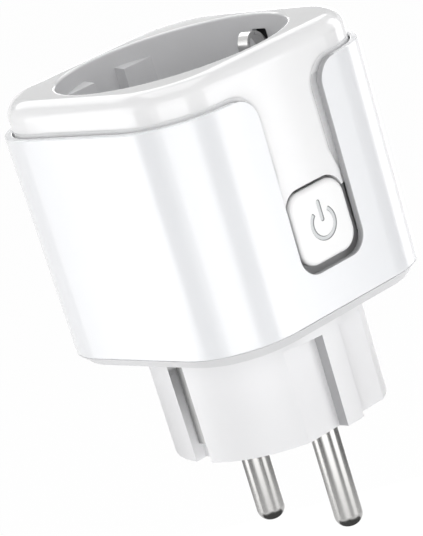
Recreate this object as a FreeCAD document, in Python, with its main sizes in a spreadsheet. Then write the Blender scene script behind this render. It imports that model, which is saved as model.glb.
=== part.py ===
"""Plug-in power meter: a switched, metering mains adapter with an earthed round socket.

Frame: millimetres, origin at the centre of the plug's engagement face, +Z out of the socket.
The two plug pins lie on the X axis and point along -Z, the push button faces +X, and the
earth contacts lie on +Y and -Y.
"""
import FreeCAD, Part

import math
import os
import re

import Sketcher
from FreeCAD import Placement, Rotation, Vector

SIZES = {
    # outer sleeve: a drafted rounded-square tube with a U-shaped cut for tongue and button
    "sleeve_corner": 13.7,
    "sleeve_top": 58.5,
    "sleeve_foot": 20.6,
    "sleeve_draft": 0.9,
    "sleeve_wall": 1.3,
    "notch_width": 14.2,
    "notch_foot": 27.4,
    "notch_corner": 3.4,
    "notch_flare": 4.1,
    # top cover: socket rim, skirt inside the sleeve and tongue down the cut
    "cover_top": 64.0,
    "cover_gap": 0.2,
    "cover_round": 3.0,
    "cover_edge": 0.5,
    "cover_wall": 1.4,
    "skirt_inset": 1.0,
    "skirt_depth": 6.0,
    "lip_height": 0.9,
    "tongue_wall": 1.8,
    "tongue_foot": 38.4,
    "tongue_apron": 1.8,
    # socket well: the grey insert that takes a round plug
    "recess_radius": 19.5,
    "recess_depth": 17.6,
    "well_wall": 1.2,
    "well_floor": 1.8,
    "well_clearance": 0.4,
    "lug_rise": 2.6,
    "lug_top": 61.3,
    "lug_slope": 9.5,
    "lug_channel": 6.7,
    "lug_round": 0.5,
    "window_width": 3.2,
    "window_top": 61.2,
    "window_depth": 2.4,
    "flange_clearance": 1.6,
    # plug: round spigot, pins and the shared pin spacing of plug and socket
    "pin_spacing": 19.0,
    "pin_diameter": 4.8,
    "pin_length": 19.0,
    "pin_dome": 2.2,
    "shank_diameter": 3.2,
    "hole_diameter": 5.5,
    "plug_clearance": 1.2,
    "spigot_edge": 0.5,
    "spigot_wall": 1.6,
    "spigot_floor": 3.0,
    "boss_radius": 4.2,
    "facet_depth": 2.3,
    "facet_top": 15.9,
    "rib_width": 3.8,
    "groove_width": 3.6,
    "groove_depth": 2.3,
    "groove_top": 17.3,
    # base plate that closes the foot of the sleeve
    "plate_thickness": 1.8,
    "lip_clearance": 0.1,
    "lip_wall": 1.2,
    "lip_rise": 3.0,
    "lip_cut_clearance": 0.3,
    "post_clearance": 0.4,
    "post_radius": 3.1,
    "spike_radius": 2.0,
    "screw_radius": 1.2,
    "screw_bite": 8.0,
    "screw_length": 8.8,
    "screw_clearance": 0.2,
    "screw_head_radius": 2.1,
    "screw_head_height": 1.5,
    # boards
    "board_rise": 3.4,
    "board_thickness": 1.6,
    "board_margin": 0.4,
    "board_corner": 8.0,
    "board_clearance": 0.2,
    # push button and its switch
    "button_width": 12.3,
    "button_height": 12.2,
    "button_corner": 3.2,
    "button_middle": 34.5,
    "button_recess": 0.5,
    "button_depth": 1.8,
    "button_bevel": 0.5,
    "button_gap": 0.45,
    "button_travel": 0.5,
    "shank_width": 8.0,
    "guide_clearance": 0.15,
    "stop_width": 10.4,
    "stop_depth": 0.9,
    "stop_clearance": 0.05,
    "frame_gap": 0.1,
    "frame_thickness": 1.4,
    "frame_width": 17.0,
    "frame_top": 43.4,
    "frame_corner": 1.6,
    "switch_width": 6.0,
    "switch_depth": 3.4,
    "plunger_radius": 1.75,
    "plunger_clearance": 0.1,
    "plunger_reach": 1.0,
    "plunger_sink": 1.6,
    "button_board_thickness": 1.2,
    "button_board_width": 14.0,
    "button_board_top": 42.0,
    "led_width": 1.6,
    "led_height": 0.8,
    # earth parts
    "strap_width": 3.0,
    "strap_thickness": 0.8,
    "strap_foot": 2.7,
    "strap_clearance": 0.05,
    "bridge_thickness": 0.8,
    "bridge_width": 4.4,
    "clip_width": 2.4,
    "clip_thickness": 0.6,
    "clip_root": 1.2,
    "clip_foot": 3.6,
    "clip_stem": 2.5,
    "clip_nose": 4.9,
    "clip_nose_drop": 2.35,
    "clip_crest": 2.4,
    "clip_crest_rise": 0.15,
    "clip_tail": 0.4,
    "clip_tail_drop": 1.0,
    "clip_end_drop": 3.7,
    "clip_bend": 0.65,
    # socket contacts and current bars
    "contact_width": 4.2,
    "contact_thickness": 0.6,
    "contact_grip": 4.5,
    "contact_body": 7.2,
    "contact_mouth": 7.4,
    "contact_throat": 3.0,
    "contact_bend": 0.9,
    "contact_headroom": 0.4,
    "bar_thickness": 0.5,
    # parts on the main board
    "parts_gap": 1.4,
    "relay_length": 18.4,
    "relay_gap": 1.2,
    "relay_height": 15.3,
    "strap_gap": 0.4,
    "input_can_radius": 4.0,
    "input_can_height": 14.0,
    "input_can_margin": 7.4,
    "input_can_gap": 0.2,
    "output_can_radius": 3.15,
    "output_can_height": 11.0,
    "output_can_across": 8.0,
    "output_can_along": -12.5,
    "coil_radius": 3.5,
    "coil_height": 9.0,
    "coil_flange": 1.2,
    "coil_waist": 0.5,
    "coil_across": -14.6,
    "coil_along": -8.6,
    "varistor_radius": 4.5,
    "varistor_thickness": 4.0,
    "varistor_across": -6.0,
    "varistor_gap": 1.6,
    "lead_width": 0.8,
    "lead_rise": 1.0,
    "lead_spacing": 4.5,
    "fuse_radius": 1.8,
    "fuse_height": 9.0,
    "fuse_across": 2.2,
    "fuse_along": -11.6,
    "shunt_span": 11.0,
    "shunt_width": 3.0,
    "shunt_thickness": 0.8,
    "shunt_rise": 3.4,
    "shunt_gap": 0.6,
    "chip_length": 9.9,
    "chip_width": 3.9,
    "chip_height": 1.5,
    "chip_along": -0.95,
    "small_chip_length": 4.9,
    "supply_chip_across": -18.0,
    "rectifier_across": 13.0,
    "rectifier_along": -11.8,
    "module_width": 16.0,
    "module_height": 15.4,
    "module_thickness": 1.0,
    "shield_width": 12.0,
    "shield_height": 9.6,
    "shield_depth": 2.0,
    "shield_rise": 1.5,
}

doc = FreeCAD.newDocument("PlugInPowerMeter")
sheet = doc.addObject("Spreadsheet::Sheet", "Sizes")
for row, (alias, number) in enumerate(SIZES.items(), start=1):
    sheet.set(f"A{row}", alias.replace("_", " "))
    sheet.set(f"B{row}", str(number))
    sheet.setAlias(f"B{row}", alias)
doc.recompute()

NODES = {}

# widths and heights that several pieces share, as expressions of the sheet's names
SLEEVE_SHRINK = "(sleeve_top - sleeve_foot) * tan(sleeve_draft)"
COVER_SIDE = "(recess_radius + well_wall + well_clearance + cover_wall + skirt_inset)"
SLEEVE_SIDE = f"({COVER_SIDE} + cover_gap + sleeve_wall)"
SLEEVE_FOOT_WIDTH = f"(2 * ({SLEEVE_SIDE} - {SLEEVE_SHRINK}))"
BORE_SIDE = f"({SLEEVE_FOOT_WIDTH} / 2 - sleeve_wall)"
BORE_CORNER = "(sleeve_corner - sleeve_wall)"
BUTTON_RISE = "(sleeve_top - button_middle) * tan(sleeve_draft)"
BUTTON_FACE = f"({SLEEVE_SIDE} - {BUTTON_RISE} - button_recess)"
COVER_CORNER = "(sleeve_corner - sleeve_wall - cover_gap)"
COVER_FOOT = "(sleeve_top + cover_gap)"
TONGUE_SIDE = "(notch_width / 2 - cover_gap)"
TONGUE_BACK = f"({COVER_SIDE} - tongue_wall)"
WELL_TOP = "(cover_top - lip_height)"
RECESS_FLOOR = "(cover_top - recess_depth)"
WELL_FOOT = f"({RECESS_FLOOR} - well_floor)"
FLANGE_WIDTH = f"(2 * ({BORE_SIDE} - flange_clearance))"
FLANGE_CORNER = f"({BORE_CORNER} - flange_clearance)"
POST_REACH = "(post_radius * cos(22.5deg) + post_clearance)"
POST_PLACE = f"({BORE_SIDE} - {BORE_CORNER} + ({BORE_CORNER} - {POST_REACH}) * cos(45deg))"
BOARD_FOOT = "(sleeve_foot + board_rise)"
BOARD_TOP = f"({BOARD_FOOT} + board_thickness)"
BAR_TOP = f"({BOARD_TOP} + bar_thickness)"
PIN_PLACE = "(pin_spacing / 2)"
SPIGOT_RADIUS = "(recess_radius - plug_clearance)"
FACET_FLAT = f"({SPIGOT_RADIUS} - facet_depth)"
GROOVE_FLOOR = f"({SPIGOT_RADIUS} - groove_depth)"
CONTACT_REACH = "(contact_body / 2 + contact_thickness)"
FRAME_FRONT = f"({TONGUE_BACK} - frame_gap)"
FRAME_BACK = f"({FRAME_FRONT} - frame_thickness)"
BOARD_SIDE = f"({FRAME_BACK} - board_margin)"
STOP_FRONT = f"({FRAME_BACK} - stop_clearance)"
STOP_BACK = f"({STOP_FRONT} - stop_depth)"
SWITCH_FRONT = f"({STOP_BACK} - plunger_reach)"
SWITCH_BACK = f"({SWITCH_FRONT} - switch_depth)"
BRIDGE_TOP = f"({WELL_FOOT} - clip_thickness)"
BRIDGE_FOOT = f"({BRIDGE_TOP} - bridge_thickness)"
CLIP_ROOT = "(recess_radius - clip_root)"


def expr(text):
    """Write an expression of size names the way the document reads it."""
    named = re.sub(r"[a-z_]+", lambda m: f"Sizes.{m[0]}" if m[0] in SIZES else m[0], str(text))
    return re.sub(r"tan\((Sizes\.\w+)\)", r"tan(\1 * 1deg)", named)


def value(text):
    """The number that an expression of size names stands for."""
    return float(sheet.evalExpression(expr(text)))


def bind(thing, **sizes):
    """Bind properties to expressions; a double underscore stands for a dot."""
    for name, text in sizes.items():
        thing.setExpression(name.replace("__", "."), expr(text))
    return thing


def node(thing, label):
    """Name a finished sub-part, which is then written to a file of its own."""
    thing.Label = label
    NODES[label] = thing
    return thing


# ---- primitives and booleans -------------------------------------------------------------

def box(name, low, size):
    """A box from its low corner and its three sizes."""
    thing = doc.addObject("Part::Box", name)
    bind(thing, Length=size[0], Width=size[1], Height=size[2])
    return bind(thing, Placement__Base__x=low[0], Placement__Base__y=low[1], Placement__Base__z=low[2])


def cylinder(name, radius, height, low, axis="z"):
    """A cylinder that starts at low and runs along +X, +Y or +Z."""
    thing = doc.addObject("Part::Cylinder", name)
    turns = {"x": Rotation(Vector(0, 1, 0), 90), "y": Rotation(Vector(1, 0, 0), -90), "z": Rotation()}
    thing.Placement = Placement(Vector(), turns[axis])
    bind(thing, Radius=radius, Height=height)
    return bind(thing, Placement__Base__x=low[0], Placement__Base__y=low[1], Placement__Base__z=low[2])


def prism(name, radius, height, low):
    """An upright octagonal prism; the radius reaches its corners."""
    thing = doc.addObject("Part::Prism", name)
    thing.Polygon = 8
    thing.Placement = Placement(Vector(), Rotation(Vector(0, 0, 1), 22.5))
    bind(thing, Circumradius=radius, Height=height)
    return bind(thing, Placement__Base__x=low[0], Placement__Base__y=low[1], Placement__Base__z=low[2])


def fuse(name, *things):
    """One solid from several that touch or overlap."""
    joined = doc.addObject("Part::MultiFuse", name)
    joined.Shapes = list(things)
    joined.Refine = True
    return joined


def cut(name, base, *tools):
    """Take the tools away from the base."""
    left = doc.addObject("Part::Cut", name)
    left.Base = base
    left.Tool = tools[0] if len(tools) == 1 else fuse(name + "_tools", *tools)
    left.Refine = True
    return left


def common(name, *things):
    """What several solids share."""
    shared = doc.addObject("Part::MultiCommon", name)
    shared.Shapes = list(things)
    shared.Refine = True
    return shared


# ---- sketches and the features made from them ----------------------------------------------

def sketch_on(body, role, name, offset="0"):
    """A sketch on one of the body's own origin planes, moved along the plane's normal."""
    sketch = body.newObject("Sketcher::SketchObject", name)
    plane = [item for item in body.Origin.OriginFeatures if item.Role == role][0]
    sketch.AttachmentSupport = [(plane, "")]
    sketch.MapMode = "FlatFace"
    sketch.setExpression("AttachmentOffset.Base.z", expr(offset))
    return sketch


def place_point(sketch, geometry, end, across=None, up=None):
    """Tie a point's distances from the sketch's origin to expressions."""
    for kind, text in (("DistanceX", across), ("DistanceY", up)):
        if text is not None:
            index = sketch.addConstraint(Sketcher.Constraint(kind, -1, 1, geometry, end, value(text)))
            sketch.setExpression(f"Constraints[{index}]", expr(text))


def draw_polygon(sketch, corners):
    """A closed polygon through corners given as pairs of expressions."""
    points = [Vector(value(across), value(up), 0) for across, up in corners]
    count = len(points)
    lines = [sketch.addGeometry(Part.LineSegment(points[i], points[(i + 1) % count]), False)
             for i in range(count)]
    for i, (across, up) in enumerate(corners):
        sketch.addConstraint(Sketcher.Constraint("Coincident", lines[i - 1], 2, lines[i], 1))
        place_point(sketch, lines[i], 1, across, up)
    return sketch


def draw_rounded(sketch, corners):
    """A closed outline of upright and level edges; each corner is (across, up, radius or None)."""
    count = len(corners)
    points = [Vector(value(corner[0]), value(corner[1]), 0) for corner in corners]
    radii = [value(corner[2]) if corner[2] else 0.0 for corner in corners]
    ways = [(points[(i + 1) % count] - points[i]).normalize() for i in range(count)]
    lines = []
    for i in range(count):
        start = points[i] + ways[i] * radii[i]
        finish = points[(i + 1) % count] - ways[i] * radii[(i + 1) % count]
        lines.append(sketch.addGeometry(Part.LineSegment(start, finish), False))
        upright = abs(ways[i].x) < abs(ways[i].y)
        sketch.addConstraint(Sketcher.Constraint("Vertical" if upright else "Horizontal", lines[i]))
        place_point(sketch, lines[i], 1, *((corners[i][0], None) if upright else (None, corners[i][1])))
    for i in range(count):
        if not corners[i][2]:
            sketch.addConstraint(Sketcher.Constraint("Coincident", lines[i - 1], 2, lines[i], 1))
            continue
        centre = points[i] + (ways[i] - ways[i - 1]) * radii[i]
        middle = centre + (points[i] - centre).normalize() * radii[i]
        arc = Part.Arc(points[i] - ways[i - 1] * radii[i], middle, points[i] + ways[i] * radii[i])
        left_turn = ways[i - 1].cross(ways[i]).z > 0
        curve = sketch.addGeometry(arc, False)
        first, last = (1, 2) if left_turn else (2, 1)
        sketch.addConstraint(Sketcher.Constraint("Tangent", lines[i - 1], 2, curve, first))
        sketch.addConstraint(Sketcher.Constraint("Tangent", curve, last, lines[i], 1))
        index = sketch.addConstraint(Sketcher.Constraint("Radius", curve, radii[i]))
        sketch.setExpression(f"Constraints[{index}]", expr(corners[i][2]))
    return sketch


def draw_rounded_box(sketch, width, height, radius, middle="0"):
    """A rounded rectangle about (0, middle)."""
    low, high = f"{middle} - ({height}) / 2", f"{middle} + ({height}) / 2"
    left, right = f"-({width}) / 2", f"({width}) / 2"
    return draw_rounded(sketch, [(left, low, radius), (right, low, radius),
                                 (right, high, radius), (left, high, radius)])


def draw_circle(sketch, radius, across="0", up="0"):
    """A circle of one radius about a point."""
    middle = Vector(value(across), value(up), 0)
    circle = sketch.addGeometry(Part.Circle(middle, Vector(0, 0, 1), value(radius)), False)
    index = sketch.addConstraint(Sketcher.Constraint("Radius", circle, value(radius)))
    sketch.setExpression(f"Constraints[{index}]", expr(radius))
    place_point(sketch, circle, 3, across, up)
    return sketch


def draw_octagon(sketch, radius, across="0", up="0"):
    """A regular octagon about a point, flat side up; the radius reaches its corners."""
    turns = [f"{22.5 + 45 * step}deg" for step in range(8)]
    return draw_polygon(sketch, [(f"{across} + ({radius}) * cos({turn})", f"{up} + ({radius}) * sin({turn})")
                                 for turn in turns])


def pad(body, sketch, length, taper="0", reverse=False):
    """Raise a sketch along its normal; a positive taper, in degrees, widens it."""
    feature = body.newObject("PartDesign::Pad", sketch.Name + "_pad")
    feature.Profile = sketch
    feature.Reversed = reverse
    bind(feature, Length=length, TaperAngle=taper)
    doc.recompute()
    return feature


def pocket(body, sketch, length, taper="0", along=True):
    """Cut a sketch along its normal, or against it, and make sure that it took something."""
    before = body.Tip.Shape.Volume
    feature = body.newObject("PartDesign::Pocket", sketch.Name + "_pocket")
    feature.Profile = sketch
    feature.Reversed = along
    bind(feature, Length=length, TaperAngle=taper)
    doc.recompute()
    if feature.Shape.Volume > before - 1e-3:
        raise RuntimeError(f"{feature.Name} cuts nothing")
    return feature


def loft(body, kind, outlines):
    """Join outlines by straight lines, as an Additive or a Subtractive loft."""
    feature = body.newObject(f"PartDesign::{kind}Loft", outlines[0].Name + "_loft")
    feature.Profile = outlines[0]
    feature.Sections = outlines[1:]
    feature.Ruled = True
    doc.recompute()
    return feature


def revolve(body, sketch):
    """Turn a sketch on the XZ plane about the Z axis."""
    feature = body.newObject("PartDesign::Revolution", sketch.Name + "_turned")
    feature.Profile = sketch
    feature.ReferenceAxis = ([item for item in body.Origin.OriginFeatures if item.Role == "Z_Axis"][0], [""])
    feature.Angle = 360
    doc.recompute()
    return feature


def dress(body, kind, pick, size):
    """Round (Fillet) or bevel (Chamfer) the tip's edges that pick accepts."""
    base = body.Tip
    names = [f"Edge{i}" for i, edge in enumerate(base.Shape.Edges, start=1) if pick(edge)]
    feature = body.newObject(f"PartDesign::{kind}", f"{base.Name}_{kind.lower()}")
    feature.Base = (base, names)
    bind(feature, **{"Radius" if kind == "Fillet" else "Size": size})
    doc.recompute()
    return feature


def level(height):
    """Pick edges that lie flat at one height."""
    place = value(height)
    return lambda edge: abs(edge.BoundBox.ZMin - place) < 1e-4 and abs(edge.BoundBox.ZMax - place) < 1e-4


def across_wall(height, side):
    """Pick the two short edges along X, on the +X side, at one height and at +side and -side."""
    half = value(side)
    return lambda edge: (level(height)(edge) and abs(abs(edge.CenterOfMass.y) - half) < 1e-3
                         and edge.BoundBox.YLength < 1e-3 and edge.CenterOfMass.x > 0)


# ---- bent strips: springs, straps and contacts ---------------------------------------------

def strip_face(path, bend, thickness):
    """A strip's section along a bent centre line; path is (y, z) points, bend the inner radius."""
    points = [Vector(0, y, z) for y, z in path]
    half, radius = thickness / 2, bend + thickness / 2
    ways = [(b - a).normalize() for a, b in zip(points, points[1:])]
    sides = [Vector(1, 0, 0).cross(way) for way in ways]
    left, right = [], []
    start = points[0]
    for i in range(1, len(points) - 1):
        turn = ways[i - 1].getAngle(ways[i])
        sign = 1 if ways[i - 1].cross(ways[i]).x > 0 else -1
        setback = radius * math.tan(turn / 2)
        enter, leave = points[i] - ways[i - 1] * setback, points[i] + ways[i] * setback
        centre = enter + sides[i - 1] * (sign * radius)
        middle = (points[i] - centre).normalize()
        for edges, side in ((left, 1), (right, -1)):
            reach = radius - sign * side * half
            offsets = sides[i - 1] * (side * half), sides[i] * (side * half)
            line_start = edges[-1].valueAt(edges[-1].LastParameter) if edges else start + offsets[0]
            edges.append(Part.makeLine(line_start, enter + offsets[0]))
            edges.append(Part.Arc(enter + offsets[0], centre + middle * reach, leave + offsets[1]).toShape())
    finish = points[-1]
    ends = []
    for edges, side in ((left, 1), (right, -1)):
        last = finish + sides[-1] * (side * half)
        tail = edges[-1].valueAt(edges[-1].LastParameter) if edges else start + sides[0] * (side * half)
        edges.append(Part.makeLine(tail, last))
        ends.append((edges[0].valueAt(edges[0].FirstParameter), last))
    caps = [Part.makeLine(ends[0][0], ends[1][0]), Part.makeLine(ends[0][1], ends[1][1])]
    return Part.Face(Part.Wire(Part.__sortEdges__(left + right + caps)))


def strip(label, path, bend, thickness, width, across="0", quarter_turn=False):
    """A bent strip of one width about X = across, its path in the YZ plane or turned into XZ."""
    numbers = [(value(y), value(z)) for y, z in path]
    face = strip_face(numbers, value(bend), value(thickness))
    shape = face.extrude(Vector(value(width), 0, 0))
    shape.translate(Vector(-value(width) / 2, 0, 0))
    if quarter_turn:
        shape.rotate(Vector(), Vector(0, 0, 1), -90)
    thing = doc.addObject("Part::Feature", label + "_strip")
    thing.Shape = shape
    thing.Placement = Placement(Vector(value(across), 0, 0), Rotation()).multiply(thing.Placement)
    return thing


# ---- housing ---------------------------------------------------------------------------------

def outer_sleeve():
    """The drafted tube, open at both ends, with the U-shaped cut from its rim down to the button."""
    body = doc.addObject("PartDesign::Body", "Sleeve")
    for name, kind, inset in (("Outside", "Additive", "0"), ("Inside", "Subtractive", "sleeve_wall")):
        foot_width, head_width = f"{SLEEVE_FOOT_WIDTH} - 2 * {inset}", f"2 * ({SLEEVE_SIDE} - {inset})"
        foot = draw_rounded_box(sketch_on(body, "XY_Plane", f"Sleeve{name}Foot", "sleeve_foot"),
                                foot_width, foot_width, f"sleeve_corner - {inset}")
        head = draw_rounded_box(sketch_on(body, "XY_Plane", f"Sleeve{name}Head", "sleeve_top"),
                                head_width, head_width, f"sleeve_corner - {inset}")
        loft(body, kind, [foot, head])
    side, above = "notch_width / 2", "(sleeve_top + 1)"
    notch = draw_rounded(sketch_on(body, "YZ_Plane", "SleeveNotch"), [
        (f"-{side}", above, None), (f"-{side}", "notch_foot", "notch_corner"),
        (side, "notch_foot", "notch_corner"), (side, above, None)])
    pocket(body, notch, f"{SLEEVE_SIDE} + 1")
    dress(body, "Fillet", across_wall("sleeve_top", side), "notch_flare")
    return node(body, "outer_sleeve")


def top_cover():
    """The glossy rim round the recess, its hidden skirt and the tongue that frames the button."""
    body = doc.addObject("PartDesign::Body", "Cover")
    width = f"2 * {COVER_SIDE}"
    rim = draw_rounded_box(sketch_on(body, "XY_Plane", "CoverRim", COVER_FOOT), width, width, COVER_CORNER)
    pad(body, rim, f"cover_top - cover_round - {COVER_FOOT}")
    crown = []
    for step in range(5):
        turn = f"{22.5 * step}deg"
        inset = f"cover_round * (1 - cos({turn}))"
        height = f"cover_top - cover_round * (1 - sin({turn}))"
        sketch = sketch_on(body, "XY_Plane", f"CoverCrown{step}", height)
        crown.append(draw_rounded_box(sketch, f"{width} - 2 * {inset}", f"{width} - 2 * {inset}",
                                      f"{COVER_CORNER} - {inset}"))
    loft(body, "Additive", crown)
    tongue_head = f"({COVER_FOOT} + cover_edge)"
    tongue = draw_rounded(sketch_on(body, "YZ_Plane", "CoverTongue", TONGUE_BACK), [
        (f"-{TONGUE_SIDE}", "tongue_foot", None), (TONGUE_SIDE, "tongue_foot", None),
        (TONGUE_SIDE, tongue_head, None), (f"-{TONGUE_SIDE}", tongue_head, None)])
    pad(body, tongue, "tongue_wall")
    dress(body, "Fillet", across_wall(COVER_FOOT, TONGUE_SIDE), "notch_flare + cover_gap")

    outer_face, foot = value(COVER_SIDE) - 1e-4, value(COVER_FOOT)

    def lower_edge(edge):
        """Edges of the rim's foot, and of the tongue's sides, that bound the cover's outer surface."""
        bound = edge.BoundBox
        if bound.ZMax > foot + 1e-4:
            return False
        if bound.ZMin > foot - 1e-4:
            return abs(edge.CenterOfMass.x - value(TONGUE_BACK)) > 1e-3
        return bound.XMin > outer_face and bound.ZLength > 1.0

    dress(body, "Chamfer", lower_edge, "cover_edge")
    skirt_width = f"(2 * ({COVER_SIDE} - skirt_inset))"
    skirt_corner = f"({COVER_CORNER} - skirt_inset)"
    skirt = draw_rounded_box(sketch_on(body, "XY_Plane", "CoverSkirt", f"{COVER_FOOT} - skirt_depth"),
                             skirt_width, skirt_width, skirt_corner)
    pad(body, skirt, "skirt_depth + cover_edge")
    apron_side = f"({TONGUE_SIDE} + tongue_apron)"
    apron = draw_rounded(sketch_on(body, "YZ_Plane", "CoverApron", TONGUE_BACK), [
        (f"-{apron_side}", "tongue_foot", None), (apron_side, "tongue_foot", None),
        (apron_side, COVER_FOOT, None), (f"-{apron_side}", COVER_FOOT, None)])
    pad(body, apron, "tongue_wall - skirt_inset")
    inner_width, inner_corner = f"{skirt_width} - 2 * cover_wall", f"{skirt_corner} - cover_wall"
    hollow = draw_rounded_box(sketch_on(body, "XY_Plane", "CoverHollow", f"{COVER_FOOT} - skirt_depth"),
                              inner_width, inner_width, inner_corner)
    pocket(body, hollow, f"{WELL_TOP} - ({COVER_FOOT} - skirt_depth)")
    mouth = draw_circle(sketch_on(body, "XY_Plane", "CoverMouth", WELL_TOP), "recess_radius")
    pocket(body, mouth, "lip_height")
    opening = draw_rounded_box(sketch_on(body, "YZ_Plane", "CoverButtonOpening", TONGUE_BACK),
                               "button_width + 2 * button_gap", "button_height + 2 * button_gap",
                               "button_corner + button_gap", "button_middle")
    pocket(body, opening, "tongue_wall")
    return node(body, "top_cover")


def socket_well():
    """The round recess with its floor, pin holes, guide lugs and earth windows, on a square flange."""
    body = doc.addObject("PartDesign::Body", "Well")
    flange = draw_rounded_box(sketch_on(body, "XY_Plane", "WellFlange", WELL_FOOT),
                              FLANGE_WIDTH, FLANGE_WIDTH, FLANGE_CORNER)
    pad(body, flange, "well_floor")
    tube = draw_circle(sketch_on(body, "XY_Plane", "WellTube", WELL_FOOT), "recess_radius + well_wall")
    pad(body, tube, f"{WELL_TOP} - {WELL_FOOT}")
    recess = draw_circle(sketch_on(body, "XY_Plane", "WellRecess", RECESS_FLOOR), "recess_radius")
    pocket(body, recess, "recess_depth")
    window = draw_rounded(sketch_on(body, "XZ_Plane", "WellWindow", "-recess_radius - window_depth"), [
        ("-window_width / 2", f"{WELL_FOOT} - 1", None), ("window_width / 2", f"{WELL_FOOT} - 1", None),
        ("window_width / 2", "window_top", None), ("-window_width / 2", "window_top", None)])
    first = pocket(body, window, "2 * window_depth")
    mirror_across(body, [first], "XZ_Plane")
    return body


def mirror_across(body, features, role):
    """Repeat features on the other side of one of the body's origin planes."""
    mirrored = body.newObject("PartDesign::Mirrored", f"{features[-1].Name}_mirrored")
    mirrored.Originals = features
    mirrored.MirrorPlane = ([item for item in body.Origin.OriginFeatures if item.Role == role][0], [""])
    body.Tip = mirrored
    doc.recompute()
    return mirrored


def finish_well(body):
    """Add the four lugs and cut the pin and screw holes."""
    lug_flat = "(recess_radius - lug_rise)"
    tube = cylinder("LugLimit", "recess_radius + well_wall / 2", f"lug_top - {RECESS_FLOOR}",
                    ("0", "0", RECESS_FLOOR))
    lugs = []
    for side in (1, -1):
        for half in (1, -1):
            name = f"Lug{'A' if side > 0 else 'B'}{'A' if half > 0 else 'B'}"
            lug_body = doc.addObject("PartDesign::Body", name)
            profile = draw_polygon(sketch_on(lug_body, "XZ_Plane", name + "Side",
                                             "-lug_channel / 2" if half > 0 else "lug_channel / 2"), [
                (f"{side} * {lug_flat}", RECESS_FLOOR),
                (f"{side} * (recess_radius + well_wall)", RECESS_FLOOR),
                (f"{side} * (recess_radius + well_wall)",
                 "lug_top + well_wall * tan(lug_slope)"),
                (f"{side} * {lug_flat}", "lug_top - lug_rise * tan(lug_slope)")])
            pad(lug_body, profile, "recess_radius", reverse=half > 0)
            inner = value(lug_flat)
            dress(lug_body, "Fillet", lambda edge: abs(abs(edge.CenterOfMass.x) - inner) < 1e-3
                  and edge.BoundBox.ZMin > value(RECESS_FLOOR) + 1e-3, "lug_round")
            lugs.append(lug_body)
    shaped = common("LugsInTube", fuse("LugBlocks", *lugs), tube)
    whole = fuse("WellWithLugs", body, shaped)
    tools = []
    for side in (1, -1):
        across = f"{side} * {PIN_PLACE}"
        tools.append(cylinder(f"PinHole{side + 1}", "hole_diameter / 2", "well_floor + 2",
                              (across, "0", f"{WELL_FOOT} - 1")))
        for half in (1, -1):
            tools.append(prism(f"EarHole{side + 1}{half + 1}", "screw_radius + screw_clearance",
                               "well_floor + 2",
                               (f"{side} * {POST_PLACE}", f"{half} * {POST_PLACE}", f"{WELL_FOOT} - 1")))
    return node(cut("WellCut", whole, *tools), "socket_well")


def plug_base():
    """The plate under the sleeve with its locating lip, screw posts and the round plug spigot."""
    body = doc.addObject("PartDesign::Body", "Base")
    plate = draw_rounded_box(sketch_on(body, "XY_Plane", "BasePlate", "sleeve_foot"),
                             SLEEVE_FOOT_WIDTH, SLEEVE_FOOT_WIDTH, "sleeve_corner")
    pad(body, plate, "plate_thickness", "-45", reverse=True)
    lip_width = f"(2 * ({BORE_SIDE} - lip_clearance))"
    lip_corner = f"({BORE_CORNER} - lip_clearance)"
    lip = draw_rounded_box(sketch_on(body, "XY_Plane", "BaseLip", "sleeve_foot"),
                           lip_width, lip_width, lip_corner)
    pad(body, lip, "lip_rise")
    bay_width = f"{lip_width} - 2 * lip_wall"
    bay = draw_rounded_box(sketch_on(body, "XY_Plane", "BaseBay", "sleeve_foot"), bay_width, bay_width,
                           f"{lip_corner} - lip_wall")
    pocket(body, bay, "lip_rise")
    slot_plane = sketch_on(body, "YZ_Plane", "BaseFrameSlot", f"{FRAME_BACK} - lip_cut_clearance")
    frame_slot = draw_rounded_box(slot_plane, "frame_width + 2 * lip_cut_clearance", "lip_rise", None,
                                  "sleeve_foot + lip_rise / 2")
    pocket(body, frame_slot, "frame_thickness + 2 * lip_cut_clearance + lip_wall")
    for side in (1, -1):
        for half in (1, -1):
            place = (f"{side} * {POST_PLACE}", f"{half} * {POST_PLACE}")
            name = f"BasePost{side + 1}{half + 1}"
            post = draw_octagon(sketch_on(body, "XY_Plane", name, "sleeve_foot"), "post_radius", *place)
            pad(body, post, "board_rise")
            spike = draw_octagon(sketch_on(body, "XY_Plane", name + "Spike", BOARD_FOOT),
                                 "spike_radius", *place)
            pad(body, spike, f"{WELL_FOOT} - {BOARD_FOOT}")
            hole = draw_octagon(sketch_on(body, "XY_Plane", name + "Hole", f"{WELL_FOOT} - screw_bite"),
                                "screw_radius", *place)
            pocket(body, hole, "screw_bite")
    return body


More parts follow.
